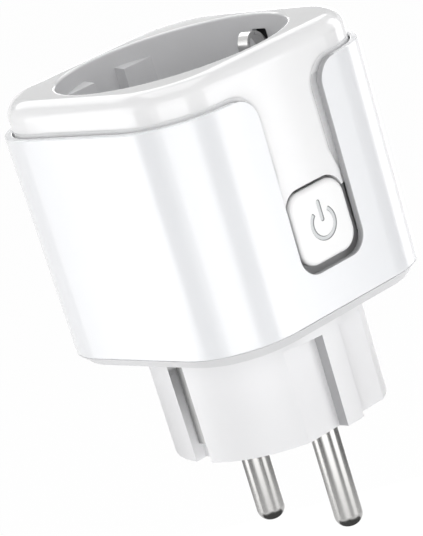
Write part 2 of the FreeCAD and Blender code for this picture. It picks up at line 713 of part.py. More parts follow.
def finish_base(plate):
    """Hang the spigot under the plate and cut its facets, grooves, hollow and pin seats."""
    body = doc.addObject("PartDesign::Body", "Spigot")
    under = "(sleeve_foot - plate_thickness)"
    round_part = draw_circle(sketch_on(body, "XY_Plane", "SpigotRound"), SPIGOT_RADIUS)
    pad(body, round_part, under)
    for side in (1, -1):
        outer, near, far = f"{side} * 2 * {SPIGOT_RADIUS}", f"{side} * {FACET_FLAT}", f"2 * {SPIGOT_RADIUS}"
        for half in (1, -1):
            flat = draw_polygon(sketch_on(body, "XY_Plane", f"Facet{side + 1}{half + 1}"), [
                (near, f"{half} * rib_width / 2"), (outer, f"{half} * rib_width / 2"),
                (outer, f"{half} * {far}"), (near, f"{half} * {far}")])
            pocket(body, flat, "facet_top")
        groove = draw_polygon(sketch_on(body, "XY_Plane", f"Groove{side + 1}"), [
            ("-groove_width / 2", f"{side} * {GROOVE_FLOOR}"), ("groove_width / 2", f"{side} * {GROOVE_FLOOR}"),
            ("groove_width / 2", f"{side} * {far}"), ("-groove_width / 2", f"{side} * {far}")])
        pocket(body, groove, "groove_top")
    dress(body, "Chamfer", level("0"), "spigot_edge")
    spigot_and_plate = fuse("BaseWhole", plate, body)
    hollow = prism("SpigotHollow", f"{FACET_FLAT} - spigot_wall", "sleeve_foot - spigot_floor + 1",
                   ("0", "0", "spigot_floor"))
    strap_middle = f"({GROOVE_FLOOR} + strap_thickness / 2)"
    bosses = []
    tools = []
    for side in (1, -1):
        across = f"{side} * {PIN_PLACE}"
        bosses.append(prism(f"PinBoss{side + 1}", "boss_radius", f"{under} - spigot_floor + 3",
                            (across, "0", "spigot_floor - 1")))
        tools.append(cylinder(f"ShankSeat{side + 1}", "shank_diameter / 2", f"{under} + 4",
                              (across, "0", "-1")))
        tools.append(box(f"StrapSlot{side + 1}",
                         ("-strap_width / 2 - strap_clearance",
                          f"{side} * {strap_middle} - strap_thickness / 2 - strap_clearance",
                          "groove_top - 1"),
                         ("strap_width + 2 * strap_clearance", "strap_thickness + 2 * strap_clearance",
                          "sleeve_foot - groove_top + 2")))
    shell = cut("BaseShell", spigot_and_plate, cut("SpigotBay", hollow, *bosses))
    return node(cut("BaseCut", shell, *tools), "plug_base")


def plug_pin(label, side):
    """One solid round pin with a stepped dome at its tip and a thinner shank up to the board."""
    body = doc.addObject("PartDesign::Body", "Pin" + ("A" if side > 0 else "B"))
    dome = [(f"pin_diameter / 2 - pin_dome * (1 - sin({turn}deg))",
             f"-pin_length + pin_dome * (1 - cos({turn}deg))") for turn in (0, 45, 90)]
    profile = draw_polygon(sketch_on(body, "XZ_Plane", body.Name + "Side"), [
        ("0", "-pin_length"), *dome, ("pin_diameter / 2", "0"),
        ("shank_diameter / 2", "0"), ("shank_diameter / 2", BOARD_TOP), ("0", BOARD_TOP)])
    revolve(body, profile)
    bind(body, Placement__Base__x=f"{side} * {PIN_PLACE}")
    return node(body, label)


# ---- push button and switch ----------------------------------------------------------------

def power_button():
    """The square cap, the shank that the frame guides and the stop behind the frame."""
    body = doc.addObject("PartDesign::Body", "Button")
    cap = draw_rounded_box(sketch_on(body, "YZ_Plane", "ButtonCap", f"{BUTTON_FACE} - button_depth"),
                           "button_width", "button_height", "button_corner", "button_middle")
    pad(body, cap, "button_depth")
    face = value(BUTTON_FACE)
    dress(body, "Chamfer", lambda edge: edge.BoundBox.XMin > face - 1e-4, "button_bevel")
    shank = draw_rounded_box(sketch_on(body, "YZ_Plane", "ButtonShank", STOP_BACK),
                             "shank_width", "shank_width", None, "button_middle")
    pad(body, shank, f"{BUTTON_FACE} - button_depth - {STOP_BACK}")
    stop = draw_rounded_box(sketch_on(body, "YZ_Plane", "ButtonStop", STOP_BACK),
                            "stop_width", "stop_width", None, "button_middle")
    pad(body, stop, "stop_depth")
    return node(body, "power_button")


def button_frame():
    """The upright plate that guides the button's shank, standing on the base plate."""
    body = doc.addObject("PartDesign::Body", "Frame")
    plate = draw_rounded(sketch_on(body, "YZ_Plane", "FramePlate", FRAME_BACK), [
        ("-frame_width / 2", "sleeve_foot", None), ("frame_width / 2", "sleeve_foot", None),
        ("frame_width / 2", "frame_top", "frame_corner"), ("-frame_width / 2", "frame_top", "frame_corner")])
    pad(body, plate, "frame_thickness")
    guide_width = "shank_width + 2 * guide_clearance"
    guide = draw_rounded_box(sketch_on(body, "YZ_Plane", "FrameGuide", FRAME_BACK),
                             guide_width, guide_width, None, "button_middle")
    pocket(body, guide, "frame_thickness")
    return node(body, "button_frame")


def tact_switch():
    """The square switch body with a round well for its plunger, and the plunger."""
    middle = "button_middle - switch_width / 2"
    case = box("SwitchBlock", (SWITCH_BACK, "-switch_width / 2", middle),
               ("switch_depth", "switch_width", "switch_width"))
    depth = "(plunger_sink + button_travel + stop_clearance)"
    well = cylinder("SwitchWell", "plunger_radius + plunger_clearance", f"{depth} + 1",
                    (f"{SWITCH_FRONT} - {depth}", "0", "button_middle"), "x")
    node(cut("SwitchCase", case, well), "tact_switch")
    plunger = cylinder("Plunger", "plunger_radius", "plunger_sink + plunger_reach",
                       (f"{SWITCH_FRONT} - plunger_sink", "0", "button_middle"), "x")
    node(plunger, "switch_plunger")


def button_board():
    """The small upright board behind the switch, with its indicator lamp."""
    back = f"({SWITCH_BACK} - button_board_thickness)"
    board_size = ("button_board_thickness", "button_board_width", f"button_board_top - {BOARD_TOP}")
    node(box("ButtonBoard", (back, "-button_board_width / 2", BOARD_TOP), board_size), "button_board")
    lamp_low = "button_board_top - 2 * led_width"
    node(box("Lamp", (SWITCH_BACK, "-led_width / 2", lamp_low), ("led_height", "led_width", "led_width")),
         "indicator_led")


# ---- current path ------------------------------------------------------------------------------

def socket_contact(label, side):
    """A U-shaped spring that grips one inserted pin under the recess floor."""
    foot = f"({BAR_TOP} + contact_thickness / 2)"
    mouth_top = f"({WELL_FOOT} - contact_headroom)"
    grip = f"({WELL_FOOT} - contact_headroom - contact_throat)"
    half_grip = "((contact_grip + contact_thickness) / 2)"
    half = [("contact_mouth / 2", mouth_top), (half_grip, grip), ("(contact_body / 2)", foot)]
    path = half + [(f"-({y})", z) for y, z in reversed(half)]
    return node(strip(label, path, "contact_bend", "contact_thickness", "contact_width",
                      f"{side} * {PIN_PLACE}"), label)


def current_bars():
    """Flat tinned bars on the board: each joins the head of a pin's shank to the contact above it."""
    for label, side in (("line_bus", -1), ("neutral_bus", 1)):
        node(box(label + "_bar", (f"{side} * {PIN_PLACE} - contact_width / 2", f"-{CONTACT_REACH}", BOARD_TOP),
                 ("contact_width", f"2 * {CONTACT_REACH}", "bar_thickness")), label)


def earth_parts():
    """Side contacts of the plug, the bridge under the recess and the two spring clips in it."""
    middle = f"({GROOVE_FLOOR} + strap_thickness / 2)"
    for label, side in (("earth_strap_left", -1), ("earth_strap_right", 1)):
        path = [(f"{side} * {middle}", "strap_foot"), (f"{side} * {middle}", BRIDGE_FOOT)]
        node(strip(label, path, "strap_thickness", "strap_thickness", "strap_width"), label)
    reach = f"({CLIP_ROOT} + clip_thickness / 2)"
    node(box("Bridge", ("-bridge_width / 2", f"-{reach}", BRIDGE_FOOT),
             ("bridge_width", f"2 * {reach}", "bridge_thickness")), "earth_bridge")
    foot = f"({BRIDGE_TOP} + clip_thickness / 2)"
    nose = ("recess_radius - clip_nose", "window_top - clip_nose_drop")
    crest = ("recess_radius - clip_crest", "window_top + clip_crest_rise")
    tail = ("recess_radius + clip_tail", "window_top - clip_tail_drop")
    for label, side in (("earth_clip_left", -1), ("earth_clip_right", 1)):
        path = [(f"{CLIP_ROOT} - clip_foot", foot), (CLIP_ROOT, foot),
                (CLIP_ROOT, f"{RECESS_FLOOR} + clip_stem"), nose, crest, tail,
                ("recess_radius + clip_thickness", "window_top - clip_end_drop")]
        node(strip(label, [(f"{side} * ({y})", z) for y, z in path], "clip_bend", "clip_thickness",
                   "clip_width"), label)


# ---- electronics -----------------------------------------------------------------------------

def main_board():
    """The square board on the posts' shoulders, cleared for posts, pins and earth straps."""
    body = doc.addObject("PartDesign::Body", "Board")
    outline = draw_rounded_box(sketch_on(body, "XY_Plane", "BoardOutline", BOARD_FOOT),
                               f"2 * {BOARD_SIDE}", f"2 * {BOARD_SIDE}", "board_corner")
    pad(body, outline, "board_thickness")
    for side in (1, -1):
        name = "A" if side > 0 else "B"
        shank = draw_octagon(sketch_on(body, "XY_Plane", "BoardShank" + name, BOARD_FOOT),
                             "shank_diameter / 2 + board_clearance", f"{side} * {PIN_PLACE}")
        pocket(body, shank, "board_thickness")
        near = f"{side} * ({GROOVE_FLOOR} - board_clearance)"
        far = f"{side} * ({GROOVE_FLOOR} + strap_thickness + board_clearance)"
        half = "(strap_width / 2 + board_clearance)"
        slot = draw_polygon(sketch_on(body, "XY_Plane", "BoardStrap" + name, BOARD_FOOT), [
            (f"-{half}", near), (half, near), (half, far), (f"-{half}", far)])
        pocket(body, slot, "board_thickness")
        for half_side in (1, -1):
            post = draw_octagon(sketch_on(body, "XY_Plane", f"BoardPost{name}{half_side + 1}", BOARD_FOOT),
                                "spike_radius + board_clearance", f"{side} * {POST_PLACE}",
                                f"{half_side} * {POST_PLACE}")
            pocket(body, post, "board_thickness")
    return node(body, "main_board")


def drum_coil(label, across, along):
    """A drum core of eight sides: its winding between two flanges."""
    parts = [prism(f"CoilFlange{step}", "coil_radius", "coil_flange", (across, along, low))
             for step, low in enumerate((BOARD_TOP, f"{BOARD_TOP} + coil_height - coil_flange"))]
    parts.append(prism("CoilWinding", "coil_radius - coil_waist", "coil_height", (across, along, BOARD_TOP)))
    return node(fuse("Coil", *parts), label)


def board_parts():
    """What stands on the main board: relay, supply and metering."""
    input_across = f"({BOARD_SIDE} - input_can_margin)"
    input_along = "(button_board_width / 2 + input_can_gap + input_can_radius)"
    relay_right = f"({input_across} - input_can_radius - parts_gap)"
    relay_near = f"({CONTACT_REACH} + relay_gap)"
    node(box("Relay", (f"{relay_right} - relay_length", relay_near, BOARD_TOP),
             ("relay_length", f"{GROOVE_FLOOR} - strap_gap - {relay_near}", "relay_height")), "relay")
    for label, can, across, along in (("input_capacitor", "input_can", input_across, input_along),
                                      ("output_capacitor", "output_can", "output_can_across", "output_can_along")):
        node(cylinder(label + "_can", f"{can}_radius", f"{can}_height", (across, along, BOARD_TOP)), label)
    drum_coil("supply_inductor", "coil_across", "coil_along")
    disc_middle = f"({BOARD_TOP} + lead_rise + varistor_radius)"
    disc_far = f"(-({CONTACT_REACH} + shunt_gap + shunt_width + varistor_gap + varistor_thickness))"
    disc = cylinder("VaristorDisc", "varistor_radius", "varistor_thickness",
                    ("varistor_across", disc_far, disc_middle), "y")
    leads = [box(f"VaristorLead{side + 1}",
                 (f"varistor_across + {side} * lead_spacing / 2 - lead_width / 2",
                  f"{disc_far} + varistor_thickness / 2 - lead_width / 2", BOARD_TOP),
                 ("lead_width", "lead_width", f"{disc_middle} - {BOARD_TOP}"))
             for side in (1, -1)]
    node(fuse("VaristorWhole", disc, *leads), "varistor")
    resistor = prism("Fuse", "fuse_radius", "fuse_height", ("fuse_across", "fuse_along", BOARD_TOP))
    node(resistor, "fusible_resistor")
    half, high = "shunt_span / 2", f"({BOARD_TOP} + shunt_rise)"
    path = [(f"-{half}", BOARD_TOP), (f"-{half}", high), (half, high), (half, BOARD_TOP)]
    staple = strip("metering_shunt", path, "shunt_thickness / 2", "shunt_thickness", "shunt_width",
                   quarter_turn=True)
    staple.Placement.Base.y = -value(f"{CONTACT_REACH} + shunt_gap + shunt_width / 2")
    node(staple, "metering_shunt")
    for label, length, across, along in (("metering_chip", "chip_length", "-chip_length / 2", "chip_along"),
                                         ("supply_chip", "small_chip_length", "supply_chip_across", "0"),
                                         ("bridge_rectifier", "small_chip_length", "rectifier_across",
                                          "rectifier_along")):
        chip = box(label.title().replace("_", ""), (across, along, BOARD_TOP),
                   (length, "chip_width", "chip_height"))
        node(chip, label)


def wireless_module():
    """The upright radio board with its metal shield on the outer face."""
    low_y = f"(-{BOARD_SIDE} + module_thickness / 2)"
    node(box("ModuleBoard", ("-module_width / 2", low_y, BOARD_TOP),
             ("module_width", "module_thickness", "module_height")), "wireless_module")
    node(box("ModuleShield", ("-shield_width / 2", f"{low_y} - shield_depth", f"{BOARD_TOP} + shield_rise"),
             ("shield_width", "shield_depth", "shield_height")), "module_shield")


def housing_screws():
    """Four screws through the well's flange into the posts, as separate solids of one node."""
    screws = []
    for side in (1, -1):
        for half in (1, -1):
            place = (f"{side} * {POST_PLACE}", f"{half} * {POST_PLACE}")
            name = f"Screw{side + 1}{half + 1}"
            shaft = prism(name + "Shaft", "screw_radius", "screw_length",
                          (*place, f"{RECESS_FLOOR} - screw_length"))
            head = prism(name + "Head", "screw_head_radius", "screw_head_height", (*place, RECESS_FLOOR))
            screws.append(fuse(name, shaft, head))
    group = doc.addObject("Part::Compound", "Screws")
    group.Links = screws
    return node(group, "housing_screws")


outer_sleeve()
top_cover()
finish_well(socket_well())
finish_base(plug_base())
plug_pin("pin_line", -1)
plug_pin("pin_neutral", 1)
power_button()
button_frame()
tact_switch()
button_board()
socket_contact("contact_line", -1)
socket_contact("contact_neutral", 1)
current_bars()
earth_parts()
main_board()
board_parts()
wireless_module()
housing_screws()
doc.recompute()

failed = [thing.Name for thing in doc.Objects if set(thing.State) & {"Invalid", "Error"}]
if failed:
    raise RuntimeError(f"objects that failed: {failed}")
os.makedirs("parts", exist_ok=True)
for label, thing in NODES.items():
    shape = thing.Shape
    if shape.isNull() or not shape.isValid() or not shape.Solids:
        raise RuntimeError(f"{label} has no valid solid")
    shape.exportStep(f"parts/{label}.step")
    print(f"{label}: {len(shape.Solids)} solid(s), {shape.Volume:.1f} mm3")
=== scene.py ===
"""The dressed plug in power meter: a white mains adapter with an earthed round socket.

Every length is in metres. +Z points out of the socket, the two plug pins lie on the X axis and
point along -Z, and the push button faces +X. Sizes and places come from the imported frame.
"""
import math
from collections import namedtuple

import bmesh
import bpy
from bpy.props import FloatProperty, FloatVectorProperty, PointerProperty
from bpy.types import Operator, Panel, PropertyGroup
from mathutils import Matrix, Vector


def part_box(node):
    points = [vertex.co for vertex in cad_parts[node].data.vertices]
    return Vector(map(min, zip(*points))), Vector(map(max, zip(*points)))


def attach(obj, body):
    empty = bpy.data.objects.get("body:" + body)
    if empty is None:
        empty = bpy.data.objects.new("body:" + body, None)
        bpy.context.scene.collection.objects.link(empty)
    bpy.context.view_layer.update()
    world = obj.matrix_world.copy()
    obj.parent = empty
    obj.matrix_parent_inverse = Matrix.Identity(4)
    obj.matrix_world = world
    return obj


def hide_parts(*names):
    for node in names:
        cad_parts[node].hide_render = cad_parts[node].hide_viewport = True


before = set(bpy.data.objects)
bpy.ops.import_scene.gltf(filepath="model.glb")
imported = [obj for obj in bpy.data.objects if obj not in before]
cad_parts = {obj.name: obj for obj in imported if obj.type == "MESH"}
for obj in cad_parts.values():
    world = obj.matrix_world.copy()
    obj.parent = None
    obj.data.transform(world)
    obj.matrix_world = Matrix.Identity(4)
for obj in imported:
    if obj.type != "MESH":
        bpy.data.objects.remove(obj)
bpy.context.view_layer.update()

bl_info = {
    "name": "Plug in power meter",
    "version": (1, 0, 0),
    "blender": (4, 5, 0),
    "location": "3D View > Sidebar > Power meter",
    "description": "Builds and dresses a power meter's housing, socket, plug, button and electronics",
    "category": "Object",
}

SLEEVE_LOW, SLEEVE_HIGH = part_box("outer_sleeve")
COVER_LOW, COVER_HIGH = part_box("top_cover")
WELL_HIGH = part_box("socket_well")[1]
PIN_LOW, PIN_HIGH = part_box("pin_neutral")
BUTTON_LOW, BUTTON_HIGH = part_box("power_button")
CLIP_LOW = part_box("earth_clip_right")[0]

Softbox = namedtuple("Softbox", "name azimuth half_angle radiance head")
Lamp = namedtuple("Lamp", "name place width height radiance")
Card = namedtuple("Card", "name azimuth half_angle foot head grey")

MM = 0.001
SEAM = 1e-6
UP = Vector((0.0, 0.0, 1.0))
SIDES = (-1, 1)

# into how many steps roundings and circles are divided
CORNER_STEPS = 20
SKIRT_STEPS = 16
ARC_STEPS = 12
EDGE_STEPS = 7
LIP_STEPS = 6
CIRCLE_STEPS = 144
# turns of more than this many degrees stay sharp
CREASE = 40

# the softboxes stand in a ring; azimuths, from +X, and half angles are in degrees
STAND = 0.30
SOFTBOXES = (
    Softbox("softbox left", -121.5, 19.5, 2.05, 0.22),
    Softbox("softbox front", -46.0, 20.0, 2.05, 0.22),
    Softbox("softbox right", 21.5, 17.0, 2.05, 0.22),
    Softbox("softbox far right", 83.0, 10.0, 2.05, 0.22),
    Softbox("softbox back", 134.0, 14.0, 2.05, 0.10),
)
HIGH_LAMPS = (
    Lamp("softbox above", (-0.03, 0.03, 0.60), 0.46, 0.46, 2.25),
    Lamp("softbox high back", (-0.36, 0.21, 0.40), 0.66, 0.32, 1.5),
)
# grey cards between the softboxes, and one above them, give bright surfaces their darker bands
CARDS = (
    Card("card left", -88.0, 12.0, -0.119, 0.10, 0.05),
    Card("card front", -11.0, 11.0, -0.119, 0.10, 0.05),
    Card("card right", 56.0, 14.0, -0.119, 0.10, 0.12),
    Card("card far right", 104.0, 11.0, -0.119, -0.078, 0.25),
    Card("card back", 184.0, 30.0, -0.119, -0.078, 0.30),
    Card("card above", 140.0, 40.0, 0.11, 0.20, 0.60),
)
# low cards in front of the softboxes give the pins their broad dark streaks and block some light
LOW_STAND = 0.97 * STAND
LOW_CARDS = (
    Card("low card left", -107.0, 7.0, -0.119, -0.066, 0.03),
    Card("low card front", -3.0, 7.0, -0.119, -0.066, 0.03),
    Card("low card right", 78.0, 15.0, -0.119, -0.066, 0.10),
)
# half the width and the grey of the sheet on the floor
FLOOR_CARD = 0.12
FLOOR_CARD_GREY = 0.10

# the camera's directions and place
CAMERA_LENS = 211.2
CAMERA_RIGHT = (0.65886, 0.69704, -0.28291)
CAMERA_BACK = (0.75227, -0.61063, 0.24743)
CAMERA_PLACE = (0.384298, -0.316790, 0.155017)


# ---- settings ----------------------------------------------------------------------------------

def length(name, default, description):
    """A length that a user can change, in metres."""
    return FloatProperty(name=name, description=description, default=default, precision=5,
                         subtype="DISTANCE", unit="LENGTH")


def slant(name, degrees, description):
    """An angle that a user can change."""
    return FloatProperty(name=name, description=description, default=math.radians(degrees),
                         subtype="ANGLE", unit="ROTATION")


def colour(name, default, description):
    """A colour that a user can change."""
    return FloatVectorProperty(name=name, description=description, default=default, size=3,
                               min=0.0, max=1.0, subtype="COLOR")


class HousingSizes(PropertyGroup):
    """Sizes of the outer sleeve and of the cover with its tongue."""
    sleeve_half: length("Sleeve half width", SLEEVE_HIGH.x, "From the middle to a side, at the rim")
    sleeve_corner: length("Sleeve corner", 13.7 * MM, "Radius of the upright corners at the rim")
    sleeve_foot: length("Sleeve foot", SLEEVE_LOW.z, "Height of the sleeve's lower edge")
    sleeve_rim: length("Sleeve rim", SLEEVE_HIGH.z, "Height of the sleeve's upper edge")
    sleeve_wall: length("Sleeve wall", 1.3 * MM, "Wall thickness of the sleeve")
    draft: slant("Draft", 0.9, "Slope of the sleeve's sides")
    notch_half: length("Cut half width", 7.1 * MM, "Half the width of the U-shaped cut")
    notch_foot: length("Cut foot", 27.4 * MM, "Height of the lower end of the cut")
    notch_corner: length("Cut corner", 3.4 * MM, "Radius of the cut's lower corners")
    notch_flare: length("Cut flare", 4.1 * MM, "Radius where the cut runs out into the rim")
    cover_half: length("Cover half width", COVER_HIGH.x, "From the middle to a side of the cover")
    cover_top: length("Cover top", COVER_HIGH.z, "Height of the cover's flat top")
    cover_gap: length("Joint line", 0.2 * MM, "Gap between cover and sleeve")
    cover_round: length("Cover rounding", 3.0 * MM, "Radius of the cover's upper edge")
    cover_edge: length("Cover lower edge", 0.6 * MM, "Rounding of the cover's lower edge")
    tongue_edge: length("Tongue edge", 1.5 * MM, "Rounding of the tongue's two sides")
    horn_edge: length("Horn edge", 0.12 * MM, "Rounding round the button's opening")
    cover_wall: length("Cover wall", 1.8 * MM, "Wall thickness of the cover")
    tongue_foot: length("Tongue foot", COVER_LOW.z, "Height where the tongue's two ends stop")
    skirt_inset: length("Skirt inset", 0.5 * MM, "Step from the cover's side in to its skirt")
    skirt_depth: length("Skirt depth", 6.0 * MM, "Depth of the skirt inside the sleeve")
    skirt_wall: length("Skirt wall", 0.9 * MM, "Wall thickness of the skirt")
    flange_sink: length("Flange depth", 1.3 * MM, "From the sleeve's rim down to the skirt's flange")
    flange_height: length("Flange height", 0.5 * MM, "Height of the skirt's flange")
    flange_gap: length("Flange gap", 0.1 * MM, "Gap between the flange and the sleeve's wall")
    apron_wall: length("Apron wall", 0.8 * MM, "Thickness of the plate behind the tongue")
    apron_margin: length("Apron margin", 1.6 * MM, "How far that plate reaches past the cut's sides")


class SocketSizes(PropertyGroup):
    """Sizes of the round recess and of what stands in it."""
    radius: length("Recess radius", 19.5 * MM, "Radius of the round recess")
    rim_round: length("Rim rounding", 0.5 * MM, "Radius of the recess's upper edge")
    lip_height: length("Lip height", COVER_HIGH.z - WELL_HIGH.z, "Depth of the cover's lip")
    depth: length("Recess depth", 17.6 * MM, "From the cover's top to the recess floor")
    wall: length("Well wall", 1.2 * MM, "Wall thickness of the well")
    floor: length("Well floor", 1.8 * MM, "Thickness of the recess floor")
    lug_flat: length("Lug face", 16.9 * MM, "Distance of the guide lugs' faces from the middle")
    lug_half: length("Lug channel", 3.35 * MM, "Half the width between two guide lugs")
    lug_top: length("Lug top", 61.3 * MM, "Height of the lugs at the wall")
    lug_slope: slant("Lug slope", 9.5, "Slope of the lugs' upper faces")
    lug_round: length("Lug rounding", 0.5 * MM, "Radius of the lugs' edges")
    window_half: length("Window half width", 1.6 * MM, "Half the width of an earth window")
    window_top: length("Window top", 61.2 * MM, "Height of the upper edge of an earth window")
    clip_width: length("Clip width", 2.4 * MM, "Width of an earth clip")
    clip_thickness: length("Clip thickness", 0.6 * MM, "Thickness of an earth clip")
    hole_radius: length("Pin hole radius", 2.75 * MM, "Radius of the two pin holes")
    hole_chamfer: length("Pin hole chamfer", 0.4 * MM, "Bevel round the pin holes")


class PlugSizes(PropertyGroup):
    """Sizes of the base plate, the round spigot and its two pins."""
    plate_thickness: length("Plate thickness", 1.8 * MM, "Thickness of the bevelled base plate")
    spigot_radius: length("Spigot radius", 18.2 * MM, "Radius of the round spigot at its end")
    spigot_draft: slant("Spigot draft", 0.6, "Slope of the spigot's side")
    facet_flat: length("Facet", 16.0 * MM, "Distance of the side facets from the middle")
    facet_top: length("Facet top", 15.9 * MM, "Height where the side facets stop")
    rib_half: length("Rib half width", 1.9 * MM, "Half the width of the guide ribs")
    groove_half: length("Groove half width", 1.8 * MM, "Half the width of the earth grooves")
    groove_floor: length("Groove floor", 16.0 * MM, "Distance of the groove floors from the middle")
    groove_top: length("Groove top", 17.3 * MM, "Height where the earth grooves stop")
    pin_place: length("Pin place", (PIN_LOW.x + PIN_HIGH.x) / 2, "Distance of a pin from the middle")
    pin_radius: length("Pin radius", (PIN_HIGH.x - PIN_LOW.x) / 2, "Radius of a plug pin")
    pin_end: length("Pin end", PIN_LOW.z, "Height of the pins' tips")
    pin_dome: length("Pin dome", 2.1 * MM, "Rounding of the pins' tips")


class ButtonSizes(PropertyGroup):
    """Sizes of the push button and of the power sign cut into it."""
    half_width: length("Half width", BUTTON_HIGH.y, "Half the button's width")
    half_height: length("Half height", (BUTTON_HIGH.z - BUTTON_LOW.z) / 2, "Half the button's height")
    middle: length("Middle", (BUTTON_HIGH.z + BUTTON_LOW.z) / 2, "Height of the button's middle")
    face: length("Face", BUTTON_HIGH.x, "Distance of the button's face from the middle")
    depth: length("Depth", 1.8 * MM, "Thickness of the button's cap")
    corner: length("Corner", 3.2 * MM, "Radius of the button's corners")
    bevel: length("Bevel", 0.8 * MM, "Bevel round the button's face")
    gap: length("Gap", 0.45 * MM, "Gap between the button and the cover")
    sign_radius: length("Sign radius", 2.46 * MM, "Radius of the sign's ring, at its stroke's middle")
    sign_stroke: length("Sign stroke", 0.76 * MM, "Width of the sign's stroke")
    sign_depth: length("Sign depth", 0.12 * MM, "Depth of the sign's groove")
    sign_slope: length("Sign slope", 0.13 * MM, "Width of the groove's sloping walls")
    sign_middle: length("Sign middle", 34.35 * MM, "Height of the middle of the sign's ring")
    sign_opening: slant("Sign opening", 38.0, "Half the angle of the opening at the ring's top")
    bar_top: length("Bar top", 38.2 * MM, "Height of the upper end of the sign's bar")
    bar_foot: length("Bar foot", 34.6 * MM, "Height of the lower end of the sign's bar")


class Finishes(PropertyGroup):
    """Colours of the mouldings, the metals and the electronics."""
    sleeve: colour("Sleeve", (0.84, 0.85, 0.87), "Satin white of the sleeve")
    # painted shade: this grey stands in for the shade on the sleeve's cut walls and on the spigot's rib
    # sides
    cut: colour("Sleeve cut", (0.42, 0.42, 0.43), "Plain grey of the sleeve's cut walls")
    cover: colour("Cover", (0.885, 0.885, 0.89), "Glossy white of the cover")
    base: colour("Base", (0.80, 0.80, 0.81), "Plain white of the spigot")
    # painted shade: the plate's white is darker than the spigot's, in place of the shade on the bevelled
    # plate
    plate: colour("Base plate", (0.70, 0.70, 0.71), "Plain white of the bevelled base plate")
    # painted shade: the cover's hidden inner faces take this dark grey in place of the shade inside the
    # housing
    inside: colour("Inside", (0.06, 0.06, 0.062), "Dark grey of the cover's hidden inner faces")
    button: colour("Button", (0.95, 0.95, 0.95), "Satin white of the button")
    sign: colour("Sign", (0.70, 0.71, 0.72), "Light grey in the sign's groove")
    # painted shade: the sign groove's sloping walls take this darker grey in place of their shade
    sign_painted_shade: colour("Sign edge", (0.24, 0.245, 0.25), "Darker grey on the groove's sides")
    well: colour("Well", (0.74, 0.74, 0.75), "Grey of the socket's recess")
    nickel: colour("Nickel", (0.50, 0.495, 0.487), "Bright nickel plating of the pins")
    spring: colour("Spring strip", (0.66, 0.655, 0.65), "Nickel plating of the earth clips")
    strap: colour("Earth strap", (0.42, 0.42, 0.42), "Rolled nickel of the earth straps")
    steel: colour("Steel", (0.58, 0.59, 0.60), "Zinc plating of the screws and the shield")
    copper: colour("Copper alloy", (0.75, 0.52, 0.32), "Bare copper alloy")
    board: colour("Board", (0.03, 0.16, 0.07), "Solder resist on the boards")


class StageSettings(PropertyGroup):
    """Places and strengths of what stands round the meter."""
    floor_height: length("Floor height", -0.120, "Height of the floor")
    floor_size: length("Floor size", 12.0, "Width of the floor")
    key_strength: FloatProperty(name="Lamp strength", default=1.0,
                                description="Brightness of the softboxes")
    fill_strength: FloatProperty(name="Fill strength", default=0.12,
                                 description="Brightness of the room")


# ---- mesh helpers --------------------------------------------------------------------------------

def verts_of(edges):
    """The vertices that a set of edges uses."""
    return list(dict.fromkeys(vert for edge in edges for vert in edge.verts))


def verts_in(geom):
    """The vertices in a result of a mesh operator."""
    return [item for item in geom if isinstance(item, bmesh.types.BMVert)]


def edges_in(geom):
    """The edges in a result of a mesh operator."""
    return [item for item in geom if isinstance(item, bmesh.types.BMEdge)]


def faces_in(geom):
    """The faces in a result of a mesh operator."""
    return [item for item in geom if isinstance(item, bmesh.types.BMFace)]


def open_edges(bm):
    """The edges that bound a surface on one side only."""
    return [edge for edge in bm.edges if len(edge.link_faces) == 1]


def add_chain(bm, points):
    """Edges through a few points, in order."""
    verts = [bm.verts.new(point) for point in points]
    return [bm.edges.new(pair) for pair in zip(verts, verts[1:])]


def add_polygon(bm, points):
    """One face through a few points."""
    return bm.faces.new([bm.verts.new(point) for point in points])


def edges_at(edges, axis, value):
    """The edges that lie wholly at one coordinate of an axis."""
    return [edge for edge in edges if all(abs(vert.co[axis] - value) < SEAM for vert in edge.verts)]


def raise_faces(bm, faces, offset=(0, 0, 0)):
    """Extrude faces into a solid by an offset and give the vertices of its new end."""
    raised = verts_in(bmesh.ops.extrude_face_region(bm, geom=faces)["geom"])
    bmesh.ops.translate(bm, vec=offset, verts=raised)
    return raised


def cut_at(bm, point, normal, clear=False):
    """Cut a mesh along a plane and, if asked, drop what lies behind the plane."""
    geom = bm.verts[:] + bm.edges[:] + bm.faces[:]
    bmesh.ops.bisect_plane(bm, geom=geom, dist=SEAM, plane_co=point, plane_no=normal, clear_inner=clear)


def take_in(bm, part):
    """Move a part's mesh into a larger mesh and give the new edges."""
    held = bpy.data.meshes.new("part")
    part.to_mesh(held)
    part.free()
    before = set(bm.edges)
    bm.from_mesh(held)
    bpy.data.meshes.remove(held)
    return [edge for edge in bm.edges if edge not in before]


def nearest(verts, point):
    """The vertex next to a point."""
    target = Vector(point)
    return min(verts, key=lambda vert: (vert.co - target).length)


def round_corners(bm, points, radius, steps):
    """Round a flat face's corners at some points."""
    picked = [nearest(bm.verts, point) for point in points]
    round_verts(bm, picked, radius, steps)


def round_verts(bm, verts, radius, steps):
    """Round a flat face's corners at some vertices."""
    bmesh.ops.bevel(bm, geom=verts, offset=radius, offset_type="OFFSET", segments=steps, profile=0.5,
                    affect="VERTICES", material=-1)


def bevel_edges(bm, edges, width, steps):
    """Round edges to a width in a number of steps."""
    bmesh.ops.bevel(bm, geom=edges, offset=width, offset_type="OFFSET", segments=steps, profile=0.5,
                    affect="EDGES", material=-1, clamp_overlap=True)


def push(bm, edges, offset):
    """Extrude edges by an offset and give the new ones."""
    new = edges_in(bmesh.ops.extrude_edge_only(bm, edges=edges)["geom"])
    bmesh.ops.translate(bm, vec=offset, verts=verts_of(new))
    return new


